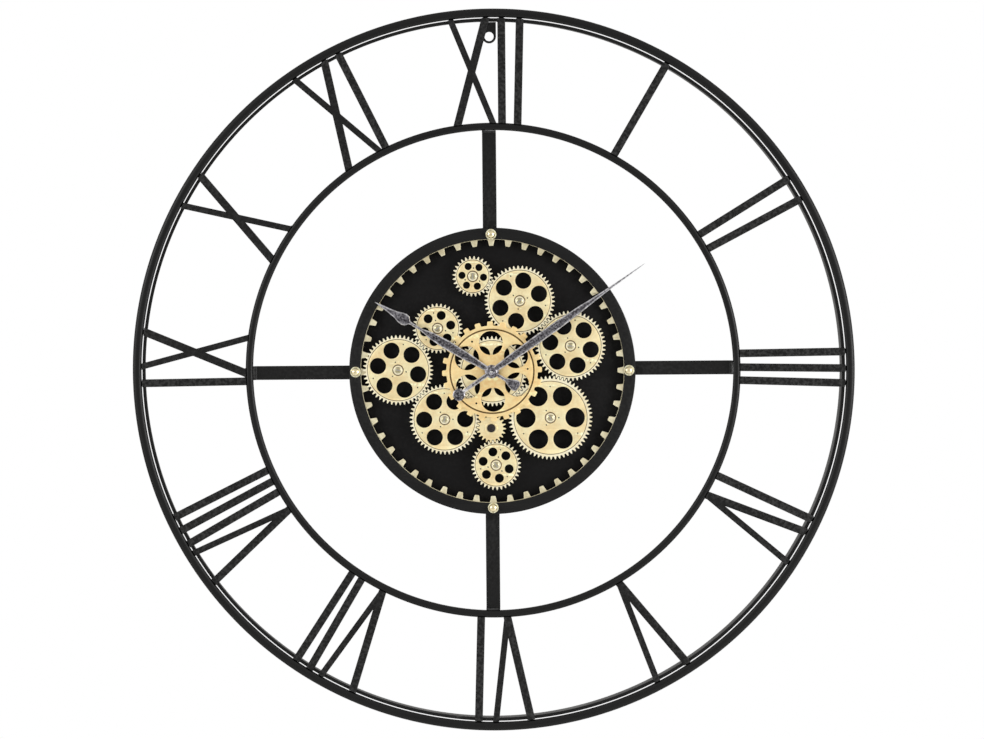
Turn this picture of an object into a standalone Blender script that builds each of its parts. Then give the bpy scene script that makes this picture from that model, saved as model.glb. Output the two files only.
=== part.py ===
"""Skeleton wall clock: welded Roman dial frame, plate with a toothed ring, brass wheels, movement, motor.

The wall plane is y = 0, the front faces -Y, and the dial's centre is on the Y axis.
"""
import math

import bmesh
import bpy

MM = 0.001
GAP = 0.3 * MM
RUNNING_GAP = 0.4 * MM
BEYOND = 30 * MM

# Depths are measured from the wall towards the viewer
BAR_BACK = 15.3 * MM
BAR_FRONT = 18.3 * MM
RIM_BACK = 14.3 * MM
RIM_FRONT = 18.8 * MM
PLATE_BACK = 15.3 * MM
PLATE_FRONT = 17.3 * MM
TOOTHED_BACK = 20.0 * MM
TOOTHED_FRONT = 22.0 * MM
BEZEL_FRONT = 24.3 * MM
WHEEL_BACK = 22.8 * MM
WHEEL_FRONT = 24.8 * MM
CENTRE_FRONT = 27.1 * MM
HOUR_BACK = 31.0 * MM
HOUR_FRONT = 32.0 * MM
MINUTE_BACK = 34.0 * MM
MINUTE_FRONT = 35.0 * MM
NUT_FRONT = 38.5 * MM

# The dial frame
RIM_RADIUS = 300.0 * MM
RIM_WIDTH = 6.8 * MM
RIM_CHAMFER = 0.8 * MM
BAND_RADIUS = 292.3 * MM
BAND_WIDTH = 2.7 * MM
BAND_LEAN = 1.6 * MM
BAND_SEAM = 1.6 * MM
RING_RADIUS = 205.6 * MM
RING_WIDTH = 5.8 * MM
SPOKE_WIDTH = 11.1 * MM
SPOKE_SHEET = 2.0 * MM
SPOKE_ROOT = 104.0 * MM
SPOKE_SHIFTS = {
    "top": (-1.4 * MM, 0.0),
    "right": (0.0, 1.5 * MM),
    "bottom": (-1.1 * MM, 0.0),
    "left": (0.0, -0.7 * MM),
}
EYE_OFFSET = -0.6 * MM
EYE_HEIGHT = 277.1 * MM
EYE_RADIUS = 5.7 * MM
EYE_HOLE = 3.8 * MM
RING_SIDES = 80

# Numerals, in degrees from the hour: V and X by their middle, bars by their (inner, outer) ends
THICK = 6.0 * MM
THIN = 4.7 * MM
V_SPREAD = 2.9
X_INNER_SPREAD = 4.1
NUMERALS = {
    "I": ([], [(-0.15, 0.05)]),
    "II": ([], [(-2.95, -2.55), (0.85, 1.25)]),
    "III": ([], [(-3.65, -2.75), (-0.45, -0.05), (2.55, 2.35)]),
    "IV": ([("v", 0.52)], [(-4.6, -4.65)]),
    "V": ([("v", -0.35)], []),
    "VI": ([("v", -2.97)], [(3.13, 2.73)]),
    "VII": ([("v", -3.03)], [(2.6, 2.0), (5.2, 4.6)]),
    "VIII": ([("v", -3.87)], [(0.93, 0.73), (3.73, 3.23), (6.53, 5.63)]),
    "IX": ([("x", 3.93)], [(-2.07, -1.67)]),
    "X": ([("x", 1.3)], []),
    "XI": ([("x", -0.9)], [(4.9, 4.5)]),
    "XII": ([("x", -3.5)], [(2.7, 1.9), (6.3, 4.9)]),
}

# The dial plate and what is stacked on it
PLATE_RADIUS = 118.8 * MM
BEZEL_INNER = 109.4 * MM
TOOTH_TIP = 103.8 * MM
TOOTH_ROOT = 109.1 * MM
TOOTHED_OUTER = 117.6 * MM
RING_TEETH = 48
STUD_CIRCLE = 113.5 * MM
STUD_RADIUS = 1.9 * MM
STUD_SHOULDER = 3.2 * MM
NUT_RADIUS = 4.0 * MM
NUT_HEX = 2.4 * MM
NUT_HEIGHT = 4.8 * MM
PLATE_SIDES = 72

# The wheel train
MODULE = 1.125 * MM
ADDENDUM = 0.9
DEDENDUM = 1.15
PIN_RADIUS = 2.4 * MM
PIN_FRONT = 25.6 * MM
CENTRE_TEETH = 24
CENTRE_TIP = 41.4 * MM
CENTRE_ROOT = 37.9 * MM
CENTRE_HOLE = 10.0 * MM
CENTRE_HOLE_CIRCLE = 23.5 * MM
REAR_HOLE = 7.0 * MM
REAR_HOLE_CIRCLE = 16.2 * MM
MOTOR_SHAFT = 3.3 * MM
SHAFT_BACK = 11.0 * MM
CENTRE_TURN = -1.9
TRAIN = (
    # name, teeth, wheel it meshes with, bearing from that wheel, bearing of its first hole
    ("centre_wheel_rear", 50, None, 0, 28.1),
    ("wheel_lower_left", 50, "centre_wheel_rear", 225, 29.5),
    ("wheel_lower_right", 60, "centre_wheel_rear", 129, 29.8),
    ("wheel_left", 50, "wheel_lower_left", 317, 42.0),
    ("wheel_upper_left", 35, "wheel_left", 44, 16.0),
    ("motor_pinion", 20, "wheel_lower_left", 101, 0.0),
    ("wheel_bottom", 35, "motor_pinion", 173, 46.5),
    ("wheel_right", 50, "wheel_lower_right", 16, 40.5),
    ("wheel_upper", 50, "wheel_right", 312, 10.5),
    ("wheel_top", 28, "wheel_upper", 298, 35.5),
)

# The quartz movement, the gear motor and the hands
CASE_SIZE = 56.0 * MM
CASE_FRONT = 15.0 * MM
BUSH_OUTER = 4.2 * MM
BUSH_INNER = 3.2 * MM
BUSH_FRONT = 28.4 * MM
PIPE_OUTER = 2.9 * MM
PIPE_INNER = 1.9 * MM
ARBOR_RADIUS = 1.6 * MM
ARBOR_BACK = 8.0 * MM
CELL_RADIUS = 7.1 * MM
CELL_LENGTH = 49.5 * MM
CELL_HEIGHT = -18.6 * MM
CELL_DEPTH = 7.8 * MM
CONTACT_RADIUS = 2.7 * MM
CONTACT_HEIGHT = 1.4 * MM
BAY_MARGIN = MM
BAY_WALL = 2 * MM
KNOB_PLACE = (12.0 * MM, 12.0 * MM)
KNOB_RADIUS = 6.0 * MM
KNOB_SHAFT = 1.6 * MM
KNOB_BACK = 0.6 * MM
KNOB_FRONT = 4.0 * MM
KNOB_SHAFT_FRONT = 8.0 * MM
MOTOR_CENTRE = -58.5 * MM
MOTOR_WIDTH = 60.0 * MM
MOTOR_HEIGHT = 54.0 * MM
MINUTE_BEARING = 55.3
MINUTE_LENGTH = 155.0 * MM
WEIGHT_REACH = 33.2 * MM
WEIGHT_RADIUS = 5.0 * MM
HOUR_BEARING = 301.0
HOUR_LENGTH = 112.7 * MM
HUB_RADIUS = 5.6 * MM
MINUTE_HUB = 4.4 * MM
NUT_TURNED = 3.4 * MM


def clear_scene():
    for old in list(bpy.data.objects):
        bpy.data.objects.remove(old, do_unlink=True)


def new_collection(name):
    made = bpy.data.collections.new(name)
    bpy.context.scene.collection.children.link(made)
    return made


def paint(name, colour, roughness, metallic):
    made = bpy.data.materials.new(name)
    made.use_nodes = True
    shader = made.node_tree.nodes["Principled BSDF"]
    shader.inputs["Base Color"].default_value = (*colour, 1.0)
    shader.inputs["Roughness"].default_value = roughness
    shader.inputs["Metallic"].default_value = metallic
    return made


clear_scene()
CLOCK = new_collection("wall_clock")
CUTTERS = new_collection("cutters")
SATIN_BLACK = paint("satin_black_paint", (0.035, 0.035, 0.037), 0.42, 0.2)
BRASS = paint("wheel_brass", (0.66, 0.49, 0.27), 0.32, 1.0)
GUNMETAL = paint("hand_gunmetal", (0.10, 0.10, 0.11), 0.3, 0.8)
STEEL = paint("turned_steel", (0.55, 0.55, 0.56), 0.3, 1.0)
PLASTIC = paint("movement_plastic", (0.03, 0.03, 0.032), 0.5, 0.0)
CELL_WRAP = paint("cell_wrap", (0.12, 0.14, 0.20), 0.35, 0.0)

# Dial space: x right and y up as the clock is read, z the depth from the wall
DIAL = bpy.data.objects.new("dial_space", None)
DIAL.rotation_euler = (math.radians(90), 0, 0)
CLOCK.objects.link(DIAL)


def polar(radius, bearing):
    angle = math.radians(90 - bearing)
    return radius * math.cos(angle), radius * math.sin(angle)


def circle(radius, sides, centre=(0.0, 0.0)):
    step = 360 / sides
    points = [polar(radius, step * number) for number in range(sides)]
    return [(x + centre[0], y + centre[1]) for x, y in points]


def place(name, mesh, material, spot=(0.0, 0.0), depth=0.0, bearing=0.0):
    """Puts a mesh at a spot on the dial, turned by its bearing; with no material it is a cutter."""
    mesh.shade_smooth()
    mesh.set_sharp_from_angle(angle=math.radians(32))
    piece = bpy.data.objects.new(name, mesh)
    piece.parent = DIAL
    piece.location = (spot[0], spot[1], depth)
    piece.rotation_euler = (0, 0, -math.radians(bearing))
    if material is None:
        piece.hide_render = True
        piece.display_type = "WIRE"
        CUTTERS.objects.link(piece)
    else:
        mesh.materials.clear()
        mesh.materials.append(material)
        CLOCK.objects.link(piece)
    return piece


def boolean(piece, other, operation):
    modifier = piece.modifiers.new(other.name, "BOOLEAN")
    modifier.operation = operation
    modifier.solver = "EXACT"
    modifier.object = other


def flat_mesh(name, outlines, thickness):
    """Extrudes flat outlines, the first one outside and the others holes, to a welded plate about z = 0."""
    curve = bpy.data.curves.new(name, "CURVE")
    curve.dimensions = "2D"
    curve.fill_mode = "BOTH"
    curve.extrude = thickness / 2
    for outline in outlines:
        spline = curve.splines.new("POLY")
        spline.points.add(len(outline) - 1)
        for point, (x, y) in zip(spline.points, outline):
            point.co = (x, y, 0, 1)
        spline.use_cyclic_u = True
    drawn = bpy.data.objects.new(name, curve)
    bpy.context.scene.collection.objects.link(drawn)
    evaluated = drawn.evaluated_get(bpy.context.evaluated_depsgraph_get())
    mesh = bpy.data.meshes.new_from_object(evaluated)
    bpy.data.objects.remove(drawn, do_unlink=True)
    work = bmesh.new()
    work.from_mesh(mesh)
    bmesh.ops.remove_doubles(work, verts=work.verts, dist=MM / 1000)
    bmesh.ops.recalc_face_normals(work, faces=work.faces)
    work.to_mesh(mesh)
    work.free()
    return mesh


def flat_piece(name, outlines, back, front, material, spot=(0.0, 0.0), bearing=0.0):
    mesh = flat_mesh(name, outlines, front - back)
    return place(name, mesh, material, spot, (back + front) / 2, bearing)


def rod(name, radius, back, front, material=None, spot=(0.0, 0.0), sides=16):
    mesh = bpy.data.meshes.new(name)
    work = bmesh.new()
    bmesh.ops.create_cone(
        work, cap_ends=True, segments=sides, radius1=radius, radius2=radius, depth=front - back
    )
    work.to_mesh(mesh)
    work.free()
    return place(name, mesh, material, spot, (back + front) / 2)


def block(name, size, centre, material=None, bearing=0.0):
    mesh = bpy.data.meshes.new(name)
    work = bmesh.new()
    bmesh.ops.create_cube(work, size=1.0)
    bmesh.ops.scale(work, vec=size, verts=work.verts)
    work.to_mesh(mesh)
    work.free()
    return place(name, mesh, material, centre[:2], centre[2], bearing)


def turned(name, profile, material, sides, spot=(0.0, 0.0)):
    """Turns a closed (radius, depth) profile, outer side first and from its front down, about the axis."""
    mesh = bpy.data.meshes.new(name)
    points = [(radius, 0.0, depth) for radius, depth in profile]
    count = len(points)
    mesh.from_pydata(points, [(number, (number + 1) % count) for number in range(count)], [])
    piece = place(name, mesh, material, spot)
    screw = piece.modifiers.new("turn", "SCREW")
    screw.axis = "Z"
    screw.steps = sides
    screw.render_steps = sides
    screw.use_merge_vertices = True
    screw.merge_threshold = MM / 100
    screw.use_smooth_shade = False
    return piece


def add_rim():
    inner = RIM_RADIUS - RIM_WIDTH
    profile = (
        (RIM_RADIUS - RIM_CHAMFER, RIM_FRONT),
        (RIM_RADIUS, RIM_FRONT - RIM_CHAMFER),
        (RIM_RADIUS, RIM_BACK),
        (inner, RIM_BACK),
        (inner, RIM_FRONT),
    )
    turned("outer_rim", profile, SATIN_BLACK, RING_SIDES)


def add_numeral_band():
    """A strip on edge behind the numerals, bent to a hoop with a narrow seam at the bottom.

    It is rolled slightly out of true: its wall edge sits to the left of its front edge.
    """
    half_seam = math.degrees(BAND_SEAM / 2 / BAND_RADIUS)
    start = 180 + half_seam
    step = (360 - 2 * half_seam) / RING_SIDES
    bearings = [start + step * number for number in range(RING_SIDES + 1)]
    outer = [polar(BAND_RADIUS, bearing) for bearing in bearings]
    inner = [polar(BAND_RADIUS - BAND_WIDTH, bearing) for bearing in reversed(bearings)]
    band = flat_piece("numeral_band", [outer + inner], 0.0, BAR_BACK - GAP, SATIN_BLACK)
    for vertex in band.data.vertices:
        if vertex.co.z < 0:
            vertex.co.x -= BAND_LEAN


def add_inner_ring():
    outlines = [circle(RING_RADIUS, RING_SIDES), circle(RING_RADIUS - RING_WIDTH, RING_SIDES)]
    flat_piece("inner_ring", outlines, RIM_BACK, BAR_FRONT, SATIN_BLACK)


def add_spokes():
    """A flat strip from behind the plate, its end bent forwards into a tab on the inner ring's inner wall.

    Each is welded on a little to one side of the dial's centre line.
    """
    reach = RING_RADIUS - RING_WIDTH - GAP
    back = PLATE_BACK - GAP - SPOKE_SHEET
    for number, (side, (shift_x, shift_y)) in enumerate(SPOKE_SHIFTS.items()):
        bearing = 90 * number
        x, y = polar((SPOKE_ROOT + reach) / 2, bearing)
        size = (SPOKE_WIDTH, reach - SPOKE_ROOT, SPOKE_SHEET)
        middle = (x + shift_x, y + shift_y, back + SPOKE_SHEET / 2)
        strip = block("spoke_" + side, size, middle, SATIN_BLACK, bearing)
        tab_height = BAR_FRONT - back - MM
        x, y = polar(reach - SPOKE_SHEET / 2, bearing)
        tab_size = (SPOKE_WIDTH - MM / 5, SPOKE_SHEET, tab_height)
        middle = (x + shift_x, y + shift_y, back + tab_height / 2 + MM / 10)
        tab = block("tab_" + side, tab_size, middle, None, bearing)
        boolean(strip, tab, "UNION")
        limit = flat_piece("limit_" + side, [circle(reach, RING_SIDES)], 0.0, BEYOND, None)
        boolean(strip, limit, "INTERSECT")


def add_hanging_eye():
    """A small tab with a hole, welded to the band's inner wall behind the twelve."""
    top = BAND_RADIUS - BAND_WIDTH - 2 * GAP - EYE_HEIGHT
    arc = [polar(EYE_RADIUS, 90 + 180 * number / 8) for number in range(9)]
    outline = [(EYE_RADIUS, top), *arc, (-EYE_RADIUS, top)]
    outlines = [outline, circle(EYE_HOLE, 16)]
    back = BAR_BACK - GAP - SPOKE_SHEET
    flat_piece("hanging_eye", outlines, back, BAR_BACK - GAP, SATIN_BLACK, (EYE_OFFSET, EYE_HEIGHT))


def stroke(name, width, inner_bearing, outer_bearing, material):
    """A flat bar between two bearings on the inner ring and the rim, longer than the space between them."""
    near = polar(RING_RADIUS, inner_bearing)
    far = polar(RIM_RADIUS - RIM_WIDTH, outer_bearing)
    run = (far[0] - near[0], far[1] - near[1])
    middle = ((far[0] + near[0]) / 2, (far[1] + near[1]) / 2, (BAR_BACK + BAR_FRONT) / 2)
    size = (width, math.hypot(*run) + 12 * MM, BAR_FRONT - BAR_BACK)
    return block(name, size, middle, material, math.degrees(math.atan2(run[0], run[1])))


def add_numerals():
    outside = circle(RIM_RADIUS - RIM_WIDTH - 2.5 * GAP, RING_SIDES)
    annulus = [outside, circle(RING_RADIUS + GAP, RING_SIDES)]
    space = flat_piece("numeral_space", annulus, 0.0, BEYOND, None)
    for hour, (numeral, (letters, bars)) in enumerate(NUMERALS.items(), start=1):
        bearing = 30 * hour
        for letter, offset in letters:
            middle = bearing + offset
            spread = X_INNER_SPREAD if letter == "x" else 0.0
            outer = V_SPREAD if letter == "x" else -V_SPREAD
            name = f"numeral_{numeral}_{letter}"
            thick = stroke(name, THICK, middle - spread, middle + outer, SATIN_BLACK)
            thin = stroke(name + "_thin", THIN, middle + spread, middle - outer, None)
            boolean(thick, thin, "UNION")
            boolean(thick, space, "INTERSECT")
        for number, (inner_offset, outer_offset) in enumerate(bars, start=1):
            name = f"numeral_{numeral}_bar_{number}"
            bar = stroke(name, THICK, bearing + inner_offset, bearing + outer_offset, SATIN_BLACK)
            boolean(bar, space, "INTERSECT")


def tooth_outline(teeth, shape, first_bearing=0.0):
    """A toothed outline: shape lists (share of the pitch, radius) from a tooth's middle, going clockwise."""
    pitch = 360 / teeth
    points = []
    for number in range(teeth):
        for share, radius in shape:
            points.append(polar(radius, first_bearing + pitch * (number + share)))
    return points


def wheel_outline(teeth, first_bearing):
    pitch_radius = MODULE * teeth / 2
    tip = pitch_radius + ADDENDUM * MODULE
    root = pitch_radius - DEDENDUM * MODULE
    return tooth_outline(teeth, ((-0.36, root), (-0.12, tip), (0.12, tip), (0.36, root)), first_bearing)


def wheel_holes(name, teeth, first_bearing):
    """Six lightening holes, larger on the large wheels and closer in on the one behind the centre wheel."""
    pitch_radius = MODULE * teeth / 2
    large = teeth > 40
    radius = pitch_radius * (0.24 if large else 0.19)
    hole_circle = pitch_radius * (0.605 if large else 0.57)
    if name == "centre_wheel_rear":
        radius = REAR_HOLE
        hole_circle = REAR_HOLE_CIRCLE
    sides = 10 if large else 8
    return [circle(radius, sides, polar(hole_circle, first_bearing + 60 * number)) for number in range(6)]


def train_places():
    """Works through the train, so that a tooth of each wheel stands in a gap of the one it meshes with."""
    places = {}
    for name, teeth, driver, bearing, _hole_bearing in TRAIN:
        if driver is None:
            places[name] = ((0.0, 0.0), teeth, 0.0)
            continue
        driver_spot, driver_teeth, driver_first = places[driver]
        reach = polar(MODULE * (driver_teeth + teeth) / 2, bearing)
        spot = (driver_spot[0] + reach[0], driver_spot[1] + reach[1])
        past_tooth = ((bearing - driver_first) * driver_teeth / 360) % 1.0
        share = (0.5 - past_tooth) % 1.0
        first = bearing + 180 - share * 360 / teeth
        places[name] = (spot, teeth, first)
    return places


def add_wheels(places):
    for name, teeth, _driver, _bearing, hole_bearing in TRAIN:
        if name == "motor_pinion":
            continue
        spot, _teeth, first = places[name]
        bore = BUSH_OUTER + RUNNING_GAP if name == "centre_wheel_rear" else PIN_RADIUS + RUNNING_GAP
        outlines = [wheel_outline(teeth, first), circle(bore, 16), *wheel_holes(name, teeth, hole_bearing)]
        flat_piece(name, outlines, WHEEL_BACK, WHEEL_FRONT, BRASS, spot)


def add_motor_pinion(places):
    spot, teeth, first = places["motor_pinion"]
    outline = wheel_outline(teeth, first)
    pinion = flat_piece("motor_pinion", [outline], WHEEL_BACK, WHEEL_FRONT, BRASS, spot)
    shaft = rod("motor_shaft", MOTOR_SHAFT, SHAFT_BACK, PIN_FRONT + MM, None, spot)
    boolean(pinion, shaft, "UNION")


def add_centre_wheel_front():
    shape = ((-0.25, CENTRE_ROOT), (-0.22, CENTRE_TIP), (0.22, CENTRE_TIP), (0.25, CENTRE_ROOT))
    outline = tooth_outline(CENTRE_TEETH, shape, CENTRE_TURN)
    bearings = [CENTRE_TURN + 60 * number for number in range(6)]
    holes = [circle(CENTRE_HOLE, 16, polar(CENTRE_HOLE_CIRCLE, bearing)) for bearing in bearings]
    outlines = [outline, circle(BUSH_OUTER + RUNNING_GAP, 16), *holes]
    flat_piece("centre_wheel_front", outlines, WHEEL_FRONT + GAP, CENTRE_FRONT, BRASS)


def add_dial_plate(places):
    """A black disc with the wheels' pins riveted in and four shouldered studs pressed in."""
    motor_spot = places["motor_pinion"][0]
    outlines = [
        circle(PLATE_RADIUS, PLATE_SIDES),
        circle(BUSH_OUTER + RUNNING_GAP, 16),
        circle(MOTOR_SHAFT + RUNNING_GAP, 16, motor_spot),
    ]
    plate = flat_piece("dial_plate", outlines, PLATE_BACK, PLATE_FRONT, SATIN_BLACK)
    root = PLATE_BACK + MM
    for name, (spot, _teeth, _first) in places.items():
        if name not in ("centre_wheel_rear", "motor_pinion"):
            boolean(plate, rod("pin_" + name, PIN_RADIUS, root, PIN_FRONT, None, spot), "UNION")
    for number in range(4):
        spot = polar(STUD_CIRCLE, 90 * number)
        shank = rod(f"stud_{number}", STUD_RADIUS, root, BEZEL_FRONT + 2.7 * MM, None, spot, 12)
        shoulder = rod(f"shoulder_{number}", STUD_SHOULDER, root, TOOTHED_BACK - GAP, None, spot, 12)
        boolean(plate, shank, "UNION")
        boolean(plate, shoulder, "UNION")


def add_plate_rings():
    spots = [polar(STUD_CIRCLE, 90 * number) for number in range(4)]
    stud_holes = [circle(STUD_RADIUS + RUNNING_GAP, 12, spot) for spot in spots]
    shape = ((-0.21, TOOTH_ROOT), (-0.155, TOOTH_TIP), (0.155, TOOTH_TIP), (0.21, TOOTH_ROOT))
    teeth = tooth_outline(RING_TEETH, shape)
    outer = circle(TOOTHED_OUTER, PLATE_SIDES)
    flat_piece("toothed_ring", [outer, teeth, *stud_holes], TOOTHED_BACK, TOOTHED_FRONT, BRASS)
    bezel = [circle(PLATE_RADIUS, PLATE_SIDES), circle(BEZEL_INNER, PLATE_SIDES), *stud_holes]
    flat_piece("bezel_ring", bezel, TOOTHED_FRONT + GAP, BEZEL_FRONT, SATIN_BLACK)


def add_cap_nuts():
    """Domed nuts on the studs, a hexagon below and a dome above."""
    back = BEZEL_FRONT + GAP
    for number in range(4):
        spot = polar(STUD_CIRCLE, 90 * number)
        nut = rod(f"cap_nut_{number + 1}", NUT_RADIUS, back, back + NUT_HEX, BRASS, spot, 6)
        across = NUT_RADIUS * math.cos(math.radians(30)) - MM / 20
        rise = NUT_HEIGHT - NUT_HEX
        slopes = [math.radians(30 * step) for step in range(3)]
        crown = [(across * math.cos(slope), back + NUT_HEX + rise * math.sin(slope)) for slope in slopes]
        profile = [(0.0, back + NUT_HEIGHT), *reversed(crown), (across, back + MM), (0.0, back + MM)]
        dome = turned(f"dome_{number}", profile, None, 12, spot)
        bore_radius = STUD_RADIUS + RUNNING_GAP
        bore = rod(f"nut_bore_{number}", bore_radius, back - MM, BEZEL_FRONT + 3.0 * MM, None, spot, 12)
        boolean(nut, dome, "UNION")
        boolean(nut, bore, "DIFFERENCE")


def add_movement():
    """The quartz movement: a square case with a cell bay, a knob in its recess and a bush through the dial."""
    middle = (0.0, 0.0, CASE_FRONT / 2)
    case = block("movement_case", (CASE_SIZE, CASE_SIZE, CASE_FRONT), middle, PLASTIC)
    boolean(case, rod("bush", BUSH_OUTER, CASE_FRONT - MM, BUSH_FRONT), "UNION")
    bay_depth = 2 * (CELL_DEPTH + CELL_RADIUS + GAP)
    bay_size = (CELL_LENGTH + BAY_MARGIN, 2 * CELL_RADIUS + BAY_MARGIN, bay_depth)
    boolean(case, block("cell_bay", bay_size, (0.0, CELL_HEIGHT, 0.0)), "DIFFERENCE")
    boolean(case, rod("pipe_bore", BUSH_INNER, ARBOR_BACK + 2 * MM, BUSH_FRONT + MM), "DIFFERENCE")
    boolean(case, rod("arbor_bore", PIPE_INNER, ARBOR_BACK - MM, BUSH_FRONT), "DIFFERENCE")
    recess = rod("knob_recess", KNOB_RADIUS + MM, -MM, KNOB_FRONT + RUNNING_GAP, None, KNOB_PLACE)
    boolean(case, recess, "DIFFERENCE")
    bore_front = KNOB_SHAFT_FRONT + RUNNING_GAP
    knob_bore = rod("knob_bore", KNOB_SHAFT + RUNNING_GAP, 0.0, bore_front, None, KNOB_PLACE, 12)
    boolean(case, knob_bore, "DIFFERENCE")
    knob = rod("setting_knob", KNOB_RADIUS, KNOB_BACK, KNOB_FRONT, PLASTIC, KNOB_PLACE, 20)
    knob_shaft = rod("knob_shaft", KNOB_SHAFT, KNOB_FRONT - MM, KNOB_SHAFT_FRONT, None, KNOB_PLACE, 12)
    boolean(knob, knob_shaft, "UNION")
    rod("minute_arbor", ARBOR_RADIUS, ARBOR_BACK, NUT_FRONT - 1.5 * MM, STEEL)


def add_cell():
    """One AA cell lying across the movement, with the raised contact at its right end."""
    shoulder = CELL_LENGTH / 2 - CONTACT_HEIGHT
    body = rod("clock_cell", CELL_RADIUS, -CELL_LENGTH / 2, shoulder, CELL_WRAP, sides=20)
    contact = rod("cell_contact", CONTACT_RADIUS, 0.0, CELL_LENGTH / 2, sides=12)
    boolean(body, contact, "UNION")
    for piece, along in ((body, -CONTACT_HEIGHT / 2), (contact, CELL_LENGTH / 4)):
        piece.rotation_euler = (0, math.radians(90), 0)
        piece.location = (along, CELL_HEIGHT, CELL_DEPTH)


def add_gear_motor(places):
    """The gear motor's case below the movement, with its own open cell bay."""
    middle = (0.0, MOTOR_CENTRE, CASE_FRONT / 2)
    case = block("motor_case", (MOTOR_WIDTH, MOTOR_HEIGHT, CASE_FRONT), middle, PLASTIC)
    bay_place = (0.0, MOTOR_CENTRE - MOTOR_HEIGHT / 2 + BAY_WALL + CELL_RADIUS + BAY_MARGIN, 0.0)
    bay_depth = 2 * (CELL_DEPTH + CELL_RADIUS + GAP)
    bay_size = (CELL_LENGTH + BAY_MARGIN, 2 * CELL_RADIUS + BAY_MARGIN, bay_depth)
    boolean(case, block("motor_bay", bay_size, bay_place), "DIFFERENCE")
    spot = places["motor_pinion"][0]
    bore = rod("shaft_bore", MOTOR_SHAFT + RUNNING_GAP, SHAFT_BACK - MM, CASE_FRONT + MM, None, spot)
    boolean(case, bore, "DIFFERENCE")


def mirrored(half):
    """Closes the right-hand half of an outline, top to bottom, with its own reflection."""
    return [*half, *[(-x, y) for x, y in reversed(half) if x > 0]]


def add_minute_hand():
    """A lance with a stem and a round weight behind the hub."""
    half = [
        (0.4 * MM, MINUTE_LENGTH),
        (0.8 * MM, 118 * MM),
        (2.2 * MM, 92 * MM),
        (3.5 * MM, 62 * MM),
        (3.4 * MM, 32 * MM),
        (2.4 * MM, 4 * MM),
        (1.5 * MM, -4 * MM),
        (1.4 * MM, -31 * MM),
    ]
    outlines = [mirrored(half)]
    hand = flat_piece("minute_hand", outlines, MINUTE_BACK, MINUTE_FRONT, GUNMETAL, bearing=MINUTE_BEARING)
    weight_spot = polar(-WEIGHT_REACH, MINUTE_BEARING)
    front = MINUTE_FRONT - MM / 20
    weight = rod("minute_weight", WEIGHT_RADIUS, MINUTE_BACK + MM / 20, front, None, weight_spot)
    hub = rod("minute_boss", MINUTE_HUB, MINUTE_BACK - MM, MINUTE_FRONT + MM / 5)
    bore = rod("minute_bore", ARBOR_RADIUS + GAP, MINUTE_BACK - 2 * MM, MINUTE_FRONT + MM, None, sides=12)
    boolean(hand, weight, "UNION")
    boolean(hand, hub, "UNION")
    boolean(hand, bore, "DIFFERENCE")


def add_hour_hand():
    """A blade, a narrow neck and a spade point, with a fan-shaped weight and a pipe that turns in the bush."""
    half = [
        (0.3 * MM, HOUR_LENGTH),
        (1.7 * MM, 100 * MM),
        (2.9 * MM, 93 * MM),
        (4.4 * MM, 88 * MM),
        (4.9 * MM, 84.5 * MM),
        (4.0 * MM, 81 * MM),
        (1.1 * MM, 79 * MM),
        (1.1 * MM, 67 * MM),
        (3.2 * MM, 54 * MM),
        (3.85 * MM, 40 * MM),
        (3.3 * MM, 22 * MM),
        (2.1 * MM, 4 * MM),
        (1.3 * MM, -5 * MM),
        (1.3 * MM, -14 * MM),
        (4.6 * MM, -18.5 * MM),
        (5.2 * MM, -22.5 * MM),
        (3.2 * MM, -25.4 * MM),
    ]
    hand = flat_piece("hour_hand", [mirrored(half)], HOUR_BACK, HOUR_FRONT, GUNMETAL, bearing=HOUR_BEARING)
    hub = rod("hour_boss", HUB_RADIUS, HOUR_BACK - 1.6 * MM, HOUR_FRONT + MM / 5)
    pipe = rod("hour_pipe", PIPE_OUTER, CASE_FRONT + MM, HOUR_BACK)
    bore = rod("hour_bore", PIPE_INNER, CASE_FRONT, HOUR_FRONT + MM, None, sides=12)
    boolean(hand, hub, "UNION")
    boolean(hand, pipe, "UNION")
    boolean(hand, bore, "DIFFERENCE")


def add_hand_nut():
    nut = rod("hand_nut", NUT_TURNED, MINUTE_FRONT + 0.5 * MM, NUT_FRONT, STEEL)
    bore = rod("hand_nut_bore", ARBOR_RADIUS + GAP, MINUTE_FRONT, NUT_FRONT - MM, None, sides=12)
    boolean(nut, bore, "DIFFERENCE")


add_rim()
add_numeral_band()
add_inner_ring()
add_spokes()
add_hanging_eye()
add_numerals()
WHEEL_PLACES = train_places()
add_wheels(WHEEL_PLACES)
add_motor_pinion(WHEEL_PLACES)
add_centre_wheel_front()
add_dial_plate(WHEEL_PLACES)
add_plate_rings()
add_cap_nuts()
add_movement()
add_cell()
add_gear_motor(WHEEL_PLACES)
add_minute_hand()
add_hour_hand()
add_hand_nut()
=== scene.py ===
import math

import bmesh
import bpy
from mathutils import Matrix, Vector


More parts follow.
